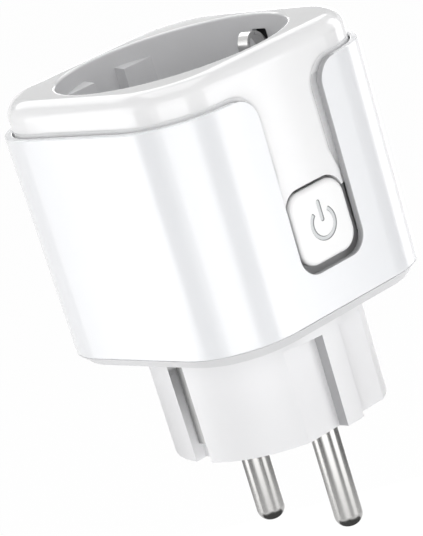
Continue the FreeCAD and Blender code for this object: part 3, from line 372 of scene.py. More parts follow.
def carry_round(bm, edges, reach, steps=CORNER_STEPS):
    """Sweep edges from the far end of the +X side round four corners and three sides."""
    corners = ((1, 1), (-1, 1), (-1, -1), (1, -1))
    runs = ((-1, 0), (0, -1), (1, 0), None)
    for corner, run in zip(corners, runs):
        centre = (reach * corner[0], reach * corner[1], 0)
        turned = bmesh.ops.spin(bm, geom=edges + verts_of(edges), cent=centre, axis=UP,
                                angle=math.pi / 2, steps=steps, use_duplicate=False)
        edges = edges_in(turned["geom_last"])
        if run:
            edges = push(bm, edges, (2 * reach * run[0], 2 * reach * run[1], 0))
    bmesh.ops.remove_doubles(bm, verts=bm.verts, dist=SEAM)


def square_ring(bm, profile, reach, steps=CORNER_STEPS):
    """A profile in the XZ plane swept round a square with rounded corners."""
    chain = add_chain(bm, [(x, -reach, z) for x, z in profile])
    carry_round(bm, push(bm, chain, (0, 2 * reach, 0)), reach, steps)


def turn(bm, profile, steps, middle):
    """A profile of radii and heights spun a full turn about an upright axis."""
    chain = add_chain(bm, [(middle[0] + radius, middle[1], z) for radius, z in profile])
    bmesh.ops.spin(bm, geom=chain + verts_of(chain), cent=(middle[0], middle[1], 0), axis=UP,
                   angle=2 * math.pi, steps=steps, use_merge=True, use_duplicate=False)
    bmesh.ops.remove_doubles(bm, verts=bm.verts, dist=SEAM)


def fill_between(bm, edges):
    """Fill a flat outline, leaving the holes that its inner loops bound."""
    filled = bmesh.ops.triangle_fill(bm, use_beauty=True, use_dissolve=False, edges=edges)
    return faces_in(filled["geom"])


def outward_way(edge):
    """The direction that leaves a face across one of its open edges."""
    loop = edge.link_loops[0]
    along = loop.link_loop_next.vert.co - loop.vert.co
    return along.cross(loop.face.normal).normalized()


def edge_frames(rim):
    """For each place on an open outline, how to go out across the outline and into the wall."""
    frames = {}
    for vert in verts_of(rim):
        ways = [outward_way(edge) for edge in vert.link_edges if edge in rim]
        way = (ways[0] + ways[1]) / (1 + ways[0].dot(ways[1]))
        depth = sum((face.normal for face in vert.link_faces), Vector()).normalized() * -1
        frames[tuple(vert.co)] = (vert.co.copy(), way, depth)
    return frames


def thicken(bm, wall, frames, rows):
    """Give an open shell a wall on its inner side, and split the wall's edge along one outline."""
    outer = set(bm.verts)
    bmesh.ops.solidify(bm, geom=bm.faces[:], thickness=wall)
    # the wall's inner faces take the third slot: for the cover, a dark grey of painted shade
    for face in bm.faces:
        if not outer.intersection(face.verts):
            face.material_index = 2
    across = [edge for edge in bm.edges if len(outer.intersection(edge.verts)) == 1
              and any(tuple(vert.co) in frames for vert in edge.verts)]
    split = bmesh.ops.subdivide_edges(bm, edges=across, cuts=rows - 1, use_grid_fill=True)
    return set(edges_in(split["geom_split"]))


def row_from(vert, across, rows):
    """The vertices across the wall, from the outer surface inwards."""
    row = [vert]
    while len(row) < rows:
        tip = row[-1]
        ahead = [edge.other_vert(tip) for edge in tip.link_edges if edge in across]
        row.append(next(item for item in ahead if item not in row))
    return row


def round_outline(bm, frames, across, width_at, rows):
    """Round an outline's outer edge with a quarter round whose width follows the place."""
    settled = {}
    for vert in bm.verts:
        if tuple(vert.co) not in frames:
            continue
        place, way, depth = frames[tuple(vert.co)]
        width = width_at(place)
        for step, item in enumerate(row_from(vert, across, rows)):
            angle = step * math.pi / 2 / (rows - 1)
            back, sunk = 1 - math.sin(angle), 1 - math.cos(angle)
            settled[item] = place - way * width * back + depth * width * sunk
    for vert, place in settled.items():
        vert.co = place


def keep_sharp(bm):
    """Shade a surface with a crease wherever it turns sharply."""
    for edge in bm.edges:
        if len(edge.link_faces) == 2 and edge.calc_face_angle() > math.radians(CREASE):
            edge.smooth = False


def settle_order(bm):
    """Order a mesh's faces by their places, so that its bevels come out the same on every run."""
    places = {}
    for face in bm.faces:
        middle = sum((vert.co for vert in face.verts), Vector()) / len(face.verts)
        spread = sum((vert.co - middle).length for vert in face.verts)
        places[face] = tuple(round(number / SEAM) for number in (*middle, spread))
    ranks = {face: rank for rank, face in enumerate(sorted(places, key=places.get))}
    bm.faces.sort(key=ranks.get)


def link_object(name, data):
    """Put a new object into the scene."""
    item = bpy.data.objects.new(name, data)
    bpy.context.scene.collection.objects.link(item)
    return item


def new_mesh(bm, name):
    """Turn a finished bmesh into a mesh."""
    mesh = bpy.data.meshes.new(name)
    bm.to_mesh(mesh)
    bm.free()
    return mesh


def make_piece(bm, name, materials, replaced, body="housing"):
    """Turn a mesh into a piece that rides on a body and stands for CAD nodes."""
    bmesh.ops.remove_doubles(bm, verts=bm.verts, dist=SEAM)
    bmesh.ops.recalc_face_normals(bm, faces=bm.faces)
    settle_order(bm)
    mesh = new_mesh(bm, name)
    mesh.shade_smooth()
    piece = link_object(name, mesh)
    for material in materials:
        mesh.materials.append(material)
    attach(piece, body)
    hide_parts(*replaced)
    return piece


def add_wall(piece, thickness):
    """Give an open shell a wall on its inner side."""
    wall = piece.modifiers.new("Wall", "SOLIDIFY")
    wall.thickness = thickness
    wall.offset = -1.0
    wall.use_even_offset = True
    wall.use_quality_normals = True
    return wall


def soften(piece, width, steps=3, angle=35.0):
    """Round a piece's sharp edges and keep its flat faces flat."""
    bevel = piece.modifiers.new("Edges", "BEVEL")
    bevel.width = width
    bevel.segments = steps
    bevel.profile = 0.5
    bevel.limit_method = "ANGLE"
    bevel.angle_limit = math.radians(angle)
    bevel.miter_outer = "MITER_ARC"
    keep_flats(piece)


def keep_flats(piece):
    """Shade a piece's flat faces flat and its roundings smooth."""
    weighted = piece.modifiers.new("Normals", "WEIGHTED_NORMAL")
    weighted.weight = 90
    weighted.keep_sharp = True


def new_group(name, inputs):
    """An empty shader node group that puts out a surface, and its two end nodes."""
    group = bpy.data.node_groups.new(name, "ShaderNodeTree")
    outputs = (("Colour", "NodeSocketColor"), ("Roughness", "NodeSocketFloat"),
               ("Normal", "NodeSocketVector"))
    for label, kind, default in inputs:
        socket = group.interface.new_socket(name=label, in_out="INPUT", socket_type=kind)
        socket.default_value = default
    for label, kind in outputs:
        group.interface.new_socket(name=label, in_out="OUTPUT", socket_type=kind)
    return group, group.nodes.new("NodeGroupInput"), group.nodes.new("NodeGroupOutput")


def add_noise(tree, vector, scale, detail, roughness=0.5):
    """A noise texture read at a vector, with a number or a socket for its scale."""
    noise = tree.nodes.new("ShaderNodeTexNoise")
    noise.inputs["Detail"].default_value = detail
    noise.inputs["Roughness"].default_value = roughness
    tree.links.new(vector, noise.inputs["Vector"])
    if isinstance(scale, float):
        noise.inputs["Scale"].default_value = scale
    else:
        tree.links.new(scale, noise.inputs["Scale"])
    return noise.outputs["Fac"]


def add_math(tree, operation, first, second):
    """A maths node on two sockets or numbers."""
    node = tree.nodes.new("ShaderNodeMath")
    node.operation = operation
    for socket, item in zip(node.inputs, (first, second)):
        if isinstance(item, (int, float)):
            socket.default_value = item
        else:
            tree.links.new(item, socket)
    return node.outputs["Value"]


def mix_colours(group, inside, outside, second, mask):
    """Mix a group's colour with its second one by a mask."""
    mix = group.nodes.new("ShaderNodeMix")
    mix.data_type = "RGBA"
    group.links.new(mask, mix.inputs["Factor"])
    group.links.new(inside.outputs["Colour"], mix.inputs["A"])
    group.links.new(inside.outputs[second], mix.inputs["B"])
    group.links.new(mix.outputs["Result"], outside.inputs["Colour"])


def vary_roughness(group, inside, outside, wander):
    """Let a group's roughness wander by its spread."""
    spread = add_math(group, "MULTIPLY", wander, inside.outputs["Spread"])
    rough = add_math(group, "ADD", spread, inside.outputs["Roughness"])
    group.links.new(rough, outside.inputs["Roughness"])


def add_relief(group, inside, outside, height, distance):
    """Give a group a fine relief by its depth."""
    bump = group.nodes.new("ShaderNodeBump")
    bump.inputs["Distance"].default_value = distance
    group.links.new(inside.outputs["Depth"], bump.inputs["Strength"])
    group.links.new(height, bump.inputs["Height"])
    group.links.new(bump.outputs["Normal"], outside.inputs["Normal"])


def moulded_group():
    """Moulded plastic: a fine spark texture, faint flow marks and a roughness that wanders."""
    group, inside, outside = new_group("Moulded surface", [
        ("Colour", "NodeSocketColor", (0.8, 0.8, 0.8, 1.0)),
        ("Shade", "NodeSocketColor", (0.7, 0.7, 0.7, 1.0)),
        ("Grain", "NodeSocketFloat", 4000.0),
        ("Roughness", "NodeSocketFloat", 0.3),
        ("Spread", "NodeSocketFloat", 0.05),
        ("Depth", "NodeSocketFloat", 0.1),
    ])
    place = group.nodes.new("ShaderNodeTexCoord").outputs["Object"]
    grain = add_noise(group, place, inside.outputs["Grain"], 2.0)
    flow = add_noise(group, place, 90.0, 3.0, 0.6)
    wander = add_math(group, "SUBTRACT", add_noise(group, place, 420.0, 4.0, 0.65), 0.5)
    mix_colours(group, inside, outside, "Shade", flow)
    vary_roughness(group, inside, outside, wander)
    add_relief(group, inside, outside, grain, 0.02 * MM)


def drawn_metal_group():
    """Drawn or plated metal: fine lines along one direction, and handling marks."""
    group, inside, outside = new_group("Drawn metal", [
        ("Colour", "NodeSocketColor", (0.7, 0.7, 0.7, 1.0)),
        ("Tarnish", "NodeSocketColor", (0.5, 0.5, 0.5, 1.0)),
        ("Stretch", "NodeSocketVector", (1.0, 1.0, 0.04)),
        ("Roughness", "NodeSocketFloat", 0.2),
        ("Spread", "NodeSocketFloat", 0.1),
        ("Depth", "NodeSocketFloat", 0.1),
    ])
    place = group.nodes.new("ShaderNodeTexCoord").outputs["Object"]
    stretch = group.nodes.new("ShaderNodeVectorMath")
    stretch.operation = "MULTIPLY"
    group.links.new(place, stretch.inputs[0])
    group.links.new(inside.outputs["Stretch"], stretch.inputs[1])
    lines = add_noise(group, stretch.outputs["Vector"], 5200.0, 3.0, 0.6)
    marks = add_noise(group, place, 260.0, 4.0, 0.6)
    wander = add_math(group, "SUBTRACT", add_math(group, "MULTIPLY", lines, marks), 0.25)
    mix_colours(group, inside, outside, "Tarnish", marks)
    vary_roughness(group, inside, outside, wander)
    add_relief(group, inside, outside, lines, 0.01 * MM)


def shade_of(base, share):
    """A colour scaled towards black, with an alpha of one."""
    return (*(channel * share for channel in base), 1.0)


def node_of(tree, kind):
    """The node of one kind in a tree."""
    return next(node for node in tree.nodes if node.type == kind)


def new_material(name):
    """A new node material, its tree and its shader."""
    material = bpy.data.materials.new(name)
    material.use_nodes = True
    tree = material.node_tree
    return material, tree, node_of(tree, "BSDF_PRINCIPLED")


def place_group(tree, group_name, shader, values):
    """Put a shared group into a material and feed the shader from it."""
    node = tree.nodes.new("ShaderNodeGroup")
    node.node_tree = bpy.data.node_groups[group_name]
    for label, value in values.items():
        node.inputs[label].default_value = value
    for output, entry in (("Colour", "Base Color"), ("Roughness", "Roughness"), ("Normal", "Normal")):
        tree.links.new(node.outputs[output], shader.inputs[entry])


def plastic(name, base, roughness, grain=4200.0, depth=0.12, spread=0.08, shade=0.965, coat=0.0,
            coat_roughness=0.05):
    """A moulded plastic of one colour."""
    material, tree, shader = new_material(name)
    shader.inputs["Coat Weight"].default_value = coat
    shader.inputs["Coat Roughness"].default_value = coat_roughness
    place_group(tree, "Moulded surface", shader, {
        "Colour": shade_of(base, 1.0), "Shade": shade_of(base, shade), "Grain": grain,
        "Roughness": roughness, "Spread": spread, "Depth": depth})
    return material


def metal(name, base, roughness, stretch=(1.0, 1.0, 0.03), spread=0.25, depth=0.15, tarnish=0.82):
    """A plated or drawn metal of one colour."""
    material, tree, shader = new_material(name)
    shader.inputs["Metallic"].default_value = 1.0
    place_group(tree, "Drawn metal", shader, {
        "Colour": shade_of(base, 1.0), "Tarnish": shade_of(base, tarnish), "Stretch": stretch,
        "Roughness": roughness, "Spread": spread, "Depth": depth})
    return material


def dress_nodes(material, *nodes):
    """Give carried-over CAD nodes their finished material."""
    for node in nodes:
        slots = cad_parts[node].material_slots
        if not slots:
            raise RuntimeError(f"{node} has no material slot")
        for place in slots:
            place.material = material


# ---- pieces ----------------------------------------------------------------------------------------

def side_at(sizes, height):
    """Half width of the drafted sleeve at a height."""
    return sizes.sleeve_half - (sizes.sleeve_rim - height) * math.tan(sizes.draft)


def sleeve_panel(bm, sizes, reach):
    """The sleeve's +X side with its cut, as one flat face."""
    foot, rim, low = sizes.sleeve_foot, sizes.sleeve_rim, sizes.notch_foot
    side = sizes.notch_half
    outline = [(-reach, foot), (reach, foot), (reach, rim), (side, rim), (side, low), (-side, low),
               (-side, rim), (-reach, rim)]
    add_polygon(bm, [(side_at(sizes, z), y, z) for y, z in outline])
    for height, radius in ((rim, sizes.notch_flare), (low, sizes.notch_corner)):
        x = side_at(sizes, height)
        round_corners(bm, [(x, side, height), (x, -side, height)], radius, ARC_STEPS)


def end_edge(bm, y, low, high):
    """The upright edge of the +X side at one y, between two heights."""
    for edge in bm.edges:
        heights = sorted(vert.co.z for vert in edge.verts)
        beside = all(abs(vert.co.y - y) < SEAM for vert in edge.verts)
        if beside and abs(heights[0] - low) < SEAM and abs(heights[1] - high) < SEAM:
            return edge
    raise RuntimeError("the side has no upright edge there")


class METER_OT_sleeve(Operator):
    """Build the drafted outer sleeve with its U-shaped cut"""
    bl_idname = "power_meter.sleeve"
    bl_label = "Outer sleeve"

    def execute(self, context):
        sizes = context.scene.meter_housing
        finish = context.scene.meter_finishes
        reach = sizes.sleeve_half - sizes.sleeve_corner
        bm = bmesh.new()
        sleeve_panel(bm, sizes, reach)
        panel = bm.faces[:]
        carry_round(bm, [end_edge(bm, reach, sizes.sleeve_foot, sizes.sleeve_rim)], reach)
        # the +X side takes the second slot, so that its wall edges take the third: a grey of painted
        # shade on the cut's walls
        for face in panel:
            face.material_index = 1
        white = plastic("sleeve satin white", finish.sleeve, 0.24, grain=5200.0, depth=0.08, spread=0.05,
                        coat=0.8, coat_roughness=0.14)
        grey = plastic("sleeve cut painted shade", finish.cut, 0.5, grain=5200.0, depth=0.15)
        piece = make_piece(bm, "sleeve_shell", [white, white, grey], ["outer_sleeve"])
        wall = add_wall(piece, sizes.sleeve_wall)
        wall.material_offset_rim = 1
        soften(piece, 0.22 * MM)
        return {"FINISHED"}


def cover_foot(sizes):
    """The height of the cover's lower edge, above the joint line."""
    return sizes.sleeve_rim + sizes.cover_gap


def opening_half(button):
    """Half the width of the button's opening."""
    return button.half_width + button.gap


def opening_top(button):
    """The height of the upper edge of the button's opening."""
    return button.middle + button.half_height + button.gap


def tongue_face(bm, sizes, button, reach):
    """The cover's +X side with the tongue that frames the button's upper half, as one flat face."""
    x, foot, head = sizes.cover_half, cover_foot(sizes), sizes.cover_top
    half = sizes.notch_half - sizes.cover_gap
    hole, hole_top = opening_half(button), opening_top(button)
    radius = button.corner + button.gap
    start = hole_top - radius
    outline = [(-half, start), (-hole, start), (-hole, hole_top), (hole, hole_top), (hole, start),
               (half, start), (half, foot), (reach, foot), (reach, head), (-reach, head),
               (-reach, foot), (-half, foot)]
    add_polygon(bm, [(x, y, z) for y, z in outline])
    round_corners(bm, [(x, hole, hole_top), (x, -hole, hole_top)], radius, 10)
    flare = sizes.notch_flare + sizes.cover_gap
    round_corners(bm, [(x, half, foot), (x, -half, foot)], flare, ARC_STEPS)
    cut_at(bm, (0, 0, sizes.tongue_foot), UP, clear=True)


def cover_top(bm, sizes, socket):
    """Round the cover's upper edge and open its flat top to the round recess."""
    top = sizes.cover_top
    rim = edges_at(bm.edges, 2, top)
    bmesh.ops.contextual_create(bm, geom=rim)
    bevel_edges(bm, rim, sizes.cover_round, ARC_STEPS)
    lid = max(bm.faces, key=lambda face: (round(face.calc_center_median().z, 6), face.calc_area()))
    outer = list(lid.edges)
    bmesh.ops.delete(bm, geom=[lid], context="FACES_ONLY")
    ring = add_ring(bm, socket.radius + socket.rim_round, (0, 0, top), CIRCLE_STEPS)
    fill_between(bm, outer + ring)
    round_lip(bm, socket, ring, top)


def add_ring(bm, radius, place, steps):
    """A circle of edges in a level plane."""
    circle = bmesh.ops.create_circle(bm, cap_ends=False, radius=radius, segments=steps)["verts"]
    bmesh.ops.translate(bm, vec=place, verts=circle)
    return list(dict.fromkeys(edge for vert in circle for edge in vert.link_edges))


def round_lip(bm, socket, lip, top):
    """Round the flat top down into the recess, with a short grey lip under the rounding."""
    mouth = socket.radius + socket.rim_round
    overlap = 0.02 * MM
    for step in range(1, LIP_STEPS + 1):
        angle = step * math.pi / (2 * LIP_STEPS)
        lip = push(bm, lip, (0, 0, 0))
        width = mouth - (socket.rim_round + overlap) * math.sin(angle)
        settle_ring(lip, width, top - socket.rim_round * (1 - math.cos(angle)))
    into_well = 0.3 * MM
    push(bm, lip, (0, 0, socket.rim_round - socket.lip_height - into_well))
    grey_from = top - 0.4 * socket.rim_round
    for face in bm.faces:
        middle = face.calc_center_median()
        if middle.z < grey_from and math.hypot(middle.x, middle.y) < mouth:
            face.material_index = 1


def settle_ring(edges, radius, height):
    """Bring a round loop to a radius and a height."""
    for vert in verts_of(edges):
        flat = Vector((vert.co.x, vert.co.y, 0)).normalized() * radius
        vert.co = Vector((flat.x, flat.y, height))


def outline_width(sizes, button, place):
    """How wide the edge of the cover's lower outline is rounded at a place."""
    flare = sizes.notch_flare + sizes.cover_gap
    share = min(1.0, max(0.0, (place.z - opening_top(button)) / sizes.notch_corner))
    width = sizes.horn_edge + share * (sizes.tongue_edge - sizes.horn_edge)
    share = min(1.0, max(0.0, (place.z - cover_foot(sizes) + flare) / flare))
    return width + share * (sizes.cover_edge - sizes.tongue_edge)


def split_sides(bm, low, high, steps):
    """Split the tongue's sides at even heights between two levels."""
    for step in range(steps + 1):
        cut_at(bm, (0, 0, low + (high - low) * step / steps), UP)


class METER_OT_cover(Operator):
    """Build the glossy cover: rim, tongue, and the lip round the recess"""
    bl_idname = "power_meter.cover"
    bl_label = "Top cover"

    def execute(self, context):
        sizes = context.scene.meter_housing
        button = context.scene.meter_button
        finish = context.scene.meter_finishes
        corner = sizes.sleeve_corner - sizes.sleeve_wall - sizes.cover_gap
        reach = sizes.cover_half - corner
        bm = bmesh.new()
        tongue_face(bm, sizes, button, reach)
        split_sides(bm, opening_top(button), opening_top(button) + sizes.notch_corner, 6)
        carry_round(bm, [end_edge(bm, reach, cover_foot(sizes), sizes.cover_top)], reach)
        bmesh.ops.recalc_face_normals(bm, faces=bm.faces)
        low = sizes.cover_top - MM
        lower = [edge for edge in open_edges(bm) if max(vert.co.z for vert in edge.verts) < low]
        frames = edge_frames(lower)
        cover_top(bm, sizes, context.scene.meter_socket)
        bmesh.ops.recalc_face_normals(bm, faces=bm.faces)
        across = thicken(bm, sizes.cover_wall, frames, EDGE_STEPS)
        round_outline(bm, frames, across, lambda place: outline_width(sizes, button, place), EDGE_STEPS)
        keep_sharp(bm)
        white = plastic("cover gloss white", finish.cover, 0.09, grain=2600.0, depth=0.03, spread=0.05,
                        coat=0.25)
        grey = plastic("cover lip grey", finish.well, 0.42, grain=3200.0, depth=0.35, spread=0.12,
                       shade=0.93)
        # painted shade: a dark grey on the hidden inner faces in place of the shade inside the housing
        inside = plastic("cover inside painted shade", finish.inside, 0.6)
        piece = make_piece(bm, "cover_shell", [white, grey, inside], ["top_cover"])
        keep_flats(piece)
        return {"FINISHED"}


def skirt_ring(bm, sizes, side, reach):
    """The skirt with a thin flange that closes the joint, all the way round; its inner faces get painted
    shade.
    """
    low = cover_foot(sizes) - sizes.skirt_depth
    high = cover_foot(sizes) + MM
    collar = sizes.cover_half - sizes.flange_gap
    flange = sizes.sleeve_half - sizes.sleeve_wall - sizes.flange_gap
    top = sizes.sleeve_rim - sizes.flange_sink
    foot = top - sizes.flange_height
    inner = side - sizes.skirt_wall
    square_ring(bm, [(collar, high), (collar, top), (flange, top), (flange, foot), (side, foot),
                     (side, low), (inner, low), (inner, high), (collar, high)], reach, SKIRT_STEPS)
    for vert in bm.verts:
        vert.co.x = min(vert.co.x, collar)
    bmesh.ops.remove_doubles(bm, verts=bm.verts, dist=SEAM)
    bmesh.ops.dissolve_degenerate(bm, edges=bm.edges, dist=SEAM)
    for face in bm.faces:
        middle = face.calc_center_median()
        over = Vector((max(abs(middle.x) - reach, 0), max(abs(middle.y) - reach, 0)))
        if over.length + reach < side - 0.95 * sizes.skirt_wall:
            face.material_index = 1


def apron_plate(sizes, button, side):
    """The plate that carries the skirt on down behind the tongue, with a hole for the button."""
    overlap = 0.5 * MM
    behind_skirt = 0.01 * MM
    foot, high = sizes.tongue_foot, cover_foot(sizes) - sizes.skirt_depth + overlap
    half = sizes.notch_half + sizes.apron_margin
    hole, top = opening_half(button), opening_top(button)
    outline = [(-half, foot), (-hole, foot), (-hole, top), (hole, top), (hole, foot), (half, foot),
               (half, high), (-half, high)]
    apron = bmesh.new()
    face = add_polygon(apron, [(side - behind_skirt, y, z) for y, z in outline])
    raise_faces(apron, [face], (-sizes.apron_wall, 0, 0))
    return apron


class METER_OT_cover_skirt(Operator):
    """Build the hidden skirt and the apron that close the cover inside the sleeve"""
    bl_idname = "power_meter.cover_skirt"
    bl_label = "Cover skirt"

    def execute(self, context):
        sizes = context.scene.meter_housing
        finish = context.scene.meter_finishes
        reach = sizes.sleeve_half - sizes.sleeve_corner
        bm = bmesh.new()
        side = sizes.cover_half - sizes.skirt_inset
        skirt_ring(bm, sizes, side, reach)
        take_in(bm, apron_plate(sizes, context.scene.meter_button, side))
        keep_sharp(bm)
        white = plastic("cover inner white", finish.cover, 0.35, grain=2600.0, depth=0.1)
        # painted shade: a dark grey on the skirt's inner faces in place of the shade inside the housing
        inside = plastic("skirt inside painted shade", finish.inside, 0.6)
        make_piece(bm, "cover_skirt", [white, inside], ["top_cover"])
        return {"FINISHED"}


def well_shell(bm, sizes, socket, pin_place):
    """The recess's wall with its two windows, and the floor with its pin holes."""
    top = sizes.cover_top - socket.lip_height
    floor = sizes.cover_top - socket.depth
    steps = 4 * round(math.pi / 2 * socket.radius / socket.window_half)
    circle = bmesh.ops.create_circle(bm, cap_ends=False, radius=socket.radius, segments=steps)["verts"]
    bmesh.ops.translate(bm, vec=(0, 0, floor), verts=circle)
    floor_ring = bm.edges[:]
    upper = push(bm, floor_ring, (0, 0, socket.window_top - floor))
    push(bm, upper, (0, 0, top - socket.window_top))
    wide = socket.hole_radius + socket.hole_chamfer
    holes = [add_ring(bm, wide, (side * pin_place, 0, floor), 48) for side in SIDES]
    fill_between(bm, floor_ring + holes[0] + holes[1])
    for side, hole in zip(SIDES, holes):
        inner = push(bm, hole, (0, 0, -socket.hole_chamfer))
        share = socket.hole_radius / wide
        centre = Matrix.Translation((-side * pin_place, 0, 0))
        bmesh.ops.scale(bm, vec=(share, share, 1), space=centre, verts=verts_of(inner))
        push(bm, inner, (0, 0, socket.hole_chamfer - socket.floor))
    windows = []
    for face in bm.faces:
        middle = face.calc_center_median()
        if floor + SEAM < middle.z < socket.window_top and abs(middle.x) < socket.window_half:
            windows.append(face)
    bmesh.ops.delete(bm, geom=windows, context="FACES")


def add_lug(bm, sizes, socket, side, half):
    """One guide lug: a sloping block between the recess's wall and a flat."""
    into_wall, into_floor = 0.3 * MM, 0.1 * MM
    lug = bmesh.new()
    bmesh.ops.create_circle(lug, cap_ends=True, radius=socket.radius + into_wall, segments=96)
    cut_at(lug, (socket.lug_flat, 0, 0), (1, 0, 0), clear=True)
    cut_at(lug, (0, socket.lug_half, 0), (0, 1, 0), clear=True)
    foot = sizes.cover_top - socket.depth - into_floor
    bmesh.ops.translate(lug, vec=(0, 0, foot), verts=lug.verts)
    for vert in raise_faces(lug, lug.faces[:]):
        vert.co.z = socket.lug_top - (socket.radius - vert.co.x) * math.tan(socket.lug_slope)
    bmesh.ops.scale(lug, vec=(side, half, 1), verts=lug.verts)
    take_in(bm, lug)


class METER_OT_socket_well(Operator):
    """Build the grey recess with its pin holes and earth windows"""
    bl_idname = "power_meter.socket_well"
    bl_label = "Socket well"

    def execute(self, context):
        sizes = context.scene.meter_housing
        socket = context.scene.meter_socket
        finish = context.scene.meter_finishes
        grey = plastic("well grey", finish.well, 0.42, grain=3200.0, depth=0.35, spread=0.12,
                       shade=0.93)
        bm = bmesh.new()
        well_shell(bm, sizes, socket, context.scene.meter_plug.pin_place)
        piece = make_piece(bm, "recess_shell", [grey], ["socket_well"])
        face_inwards(piece)
        add_wall(piece, socket.wall)
        soften(piece, 0.18 * MM)
        return {"FINISHED"}


def face_inwards(piece):
    """Point a recess's faces at the space inside it."""
    mesh = piece.data
    bm = bmesh.new()
    bm.from_mesh(mesh)
    wall = max(bm.faces, key=lambda face: face.calc_center_median().z)
    centre = wall.calc_center_median()
    if wall.normal.x * centre.x + wall.normal.y * centre.y > 0:
        bmesh.ops.reverse_faces(bm, faces=bm.faces)
    bm.to_mesh(mesh)
    bm.free()


class METER_OT_guide_lugs(Operator):
    """Build the four guide lugs in the recess"""
    bl_idname = "power_meter.guide_lugs"
    bl_label = "Guide lugs"

    def execute(self, context):
        sizes = context.scene.meter_housing
        socket = context.scene.meter_socket
        finish = context.scene.meter_finishes
        grey = plastic("lug grey", finish.well, 0.40, grain=3200.0, depth=0.3, spread=0.12, shade=0.94)
        bm = bmesh.new()
        for side in SIDES:
            for half in SIDES:
                add_lug(bm, sizes, socket, side, half)
        piece = make_piece(bm, "guide_lugs", [grey], ["socket_well"])
        soften(piece, socket.lug_round, steps=4)
        return {"FINISHED"}


def spigot_outline(plug, facets, grooves):
    """The spigot's flat outline, with or without its facets and grooves."""
    layer = bmesh.new()
    bmesh.ops.create_circle(layer, cap_ends=True, radius=plug.spigot_radius, segments=CIRCLE_STEPS)
    limits = []
    if facets:
        limits.append((plug.facet_flat, plug.rib_half))
    if grooves:
        limits.append((plug.groove_half, plug.groove_floor))
    for across, along in limits:
        for side in SIDES:
            cut_at(layer, (side * across, 0, 0), (1, 0, 0))
        for side in SIDES:
            cut_at(layer, (0, side * along, 0), (0, 1, 0))
    gone = []
    for face in layer.faces:
        middle = face.calc_center_median()
        in_facet = facets and abs(middle.x) > plug.facet_flat and abs(middle.y) > plug.rib_half
        in_groove = grooves and abs(middle.y) > plug.groove_floor and abs(middle.x) < plug.groove_half
        if in_facet or in_groove:
            gone.append(face)
    bmesh.ops.delete(layer, geom=gone, context="FACES")
    bmesh.ops.dissolve_faces(layer, faces=layer.faces[:])
    return layer


def spigot_slice(bm, plug, low, high, facets, grooves):
    """One slice of the spigot between two heights, with or without its facets and grooves."""
    layer = spigot_outline(plug, facets, grooves)
    bmesh.ops.translate(layer, vec=(0, 0, low), verts=layer.verts)
    widen(layer, layer.verts[:], plug, low)
    raised = raise_faces(layer, layer.faces[:], (0, 0, high - low))
    widen(layer, raised, plug, high - low)
    take_in(bm, layer)


def widen(bm, verts, plug, rise):
    """Widen an outline by the spigot's draft over a rise."""
    share = 1 + rise * math.tan(plug.spigot_draft) / plug.spigot_radius
    bmesh.ops.scale(bm, vec=(share, share, 1), verts=verts)


def base_block(bm, sizes, plug, under):
    """The bevelled plate under the sleeve, with a step that reaches up into the sleeve."""
    foot = sizes.sleeve_foot
    side = side_at(sizes, foot)
    inner, head = side - 1.5 * MM, foot + 2 * MM
    square_ring(bm, [(inner, head), (inner, foot), (side, foot), (side - plug.plate_thickness, under)],
                sizes.sleeve_half - sizes.sleeve_corner)
    for height in (head, under):
        bmesh.ops.contextual_create(bm, geom=edges_at(open_edges(bm), 2, height))


def mark_rib_sides(bm, plug):
    """Give the spigot's guide ribs' side walls the second material, a grey of painted shade."""
    bm.normal_update()
    for face in bm.faces:
        beside = abs(abs(face.calc_center_median().y) - plug.rib_half) < 0.3 * MM
        if beside and abs(face.normal.y) > 0.95:
            face.material_index = 1


class METER_OT_plug_base(Operator):
    """Build the bevelled base plate and the round spigot with its facets and grooves"""
    bl_idname = "power_meter.plug_base"
    bl_label = "Plug base"

    def execute(self, context):
        sizes = context.scene.meter_housing
        plug = context.scene.meter_plug
        finish = context.scene.meter_finishes
        white = plastic("base white", finish.base, 0.36, grain=3600.0, depth=0.2, spread=0.10,
                        shade=0.95)
        under = sizes.sleeve_foot - plug.plate_thickness
        bm = bmesh.new()
        base_block(bm, sizes, plug, under)
        # painted shade: a darker white on the bevelled plate in place of its shade
        plate_painted_shade = plastic("base plate white in painted shade", finish.plate, 0.36, grain=3600.0, depth=0.2, spread=0.10)
        piece = make_piece(bm, "base_plate", [plate_painted_shade], ["plug_base"])
        soften(piece, 0.12 * MM, angle=25.0)
        bm = bmesh.new()
        spigot_slice(bm, plug, 0.0, plug.facet_top, True, True)
        spigot_slice(bm, plug, plug.facet_top, plug.groove_top, False, True)
        spigot_slice(bm, plug, plug.groove_top, under + 0.1 * MM, False, False)
        mark_rib_sides(bm, plug)
        # painted shade: the ribs' side walls take the cut's grey in place of the shade beside the ribs
        step = plastic("rib side painted shade", finish.cut, 0.5, grain=3000.0, depth=0.3)
        piece = make_piece(bm, "plug_spigot", [white, step], ["plug_base"])
        soften(piece, 0.16 * MM)
        return {"FINISHED"}


def pin_profile(plug):
    """A pin's profile: a dome, the bright shaft, and a thinner shank up to the board."""
    radius, dome = plug.pin_radius, plug.pin_dome
    collar, shank = radius + 0.0001 * MM, radius * 0.66
    head = 0.5 * MM
    profile = [(0.0, plug.pin_end)]
    for step in range(ARC_STEPS + 1):
        angle = step * math.pi / (2 * ARC_STEPS)
        width = radius - dome + dome * math.sin(angle)
        profile.append((width, plug.pin_end + dome * (1 - math.cos(angle))))
    profile += [(radius, -0.4 * MM), (collar, head), (shank, head), (shank, PIN_HIGH.z)]
    return [*profile, (0.0, PIN_HIGH.z)]


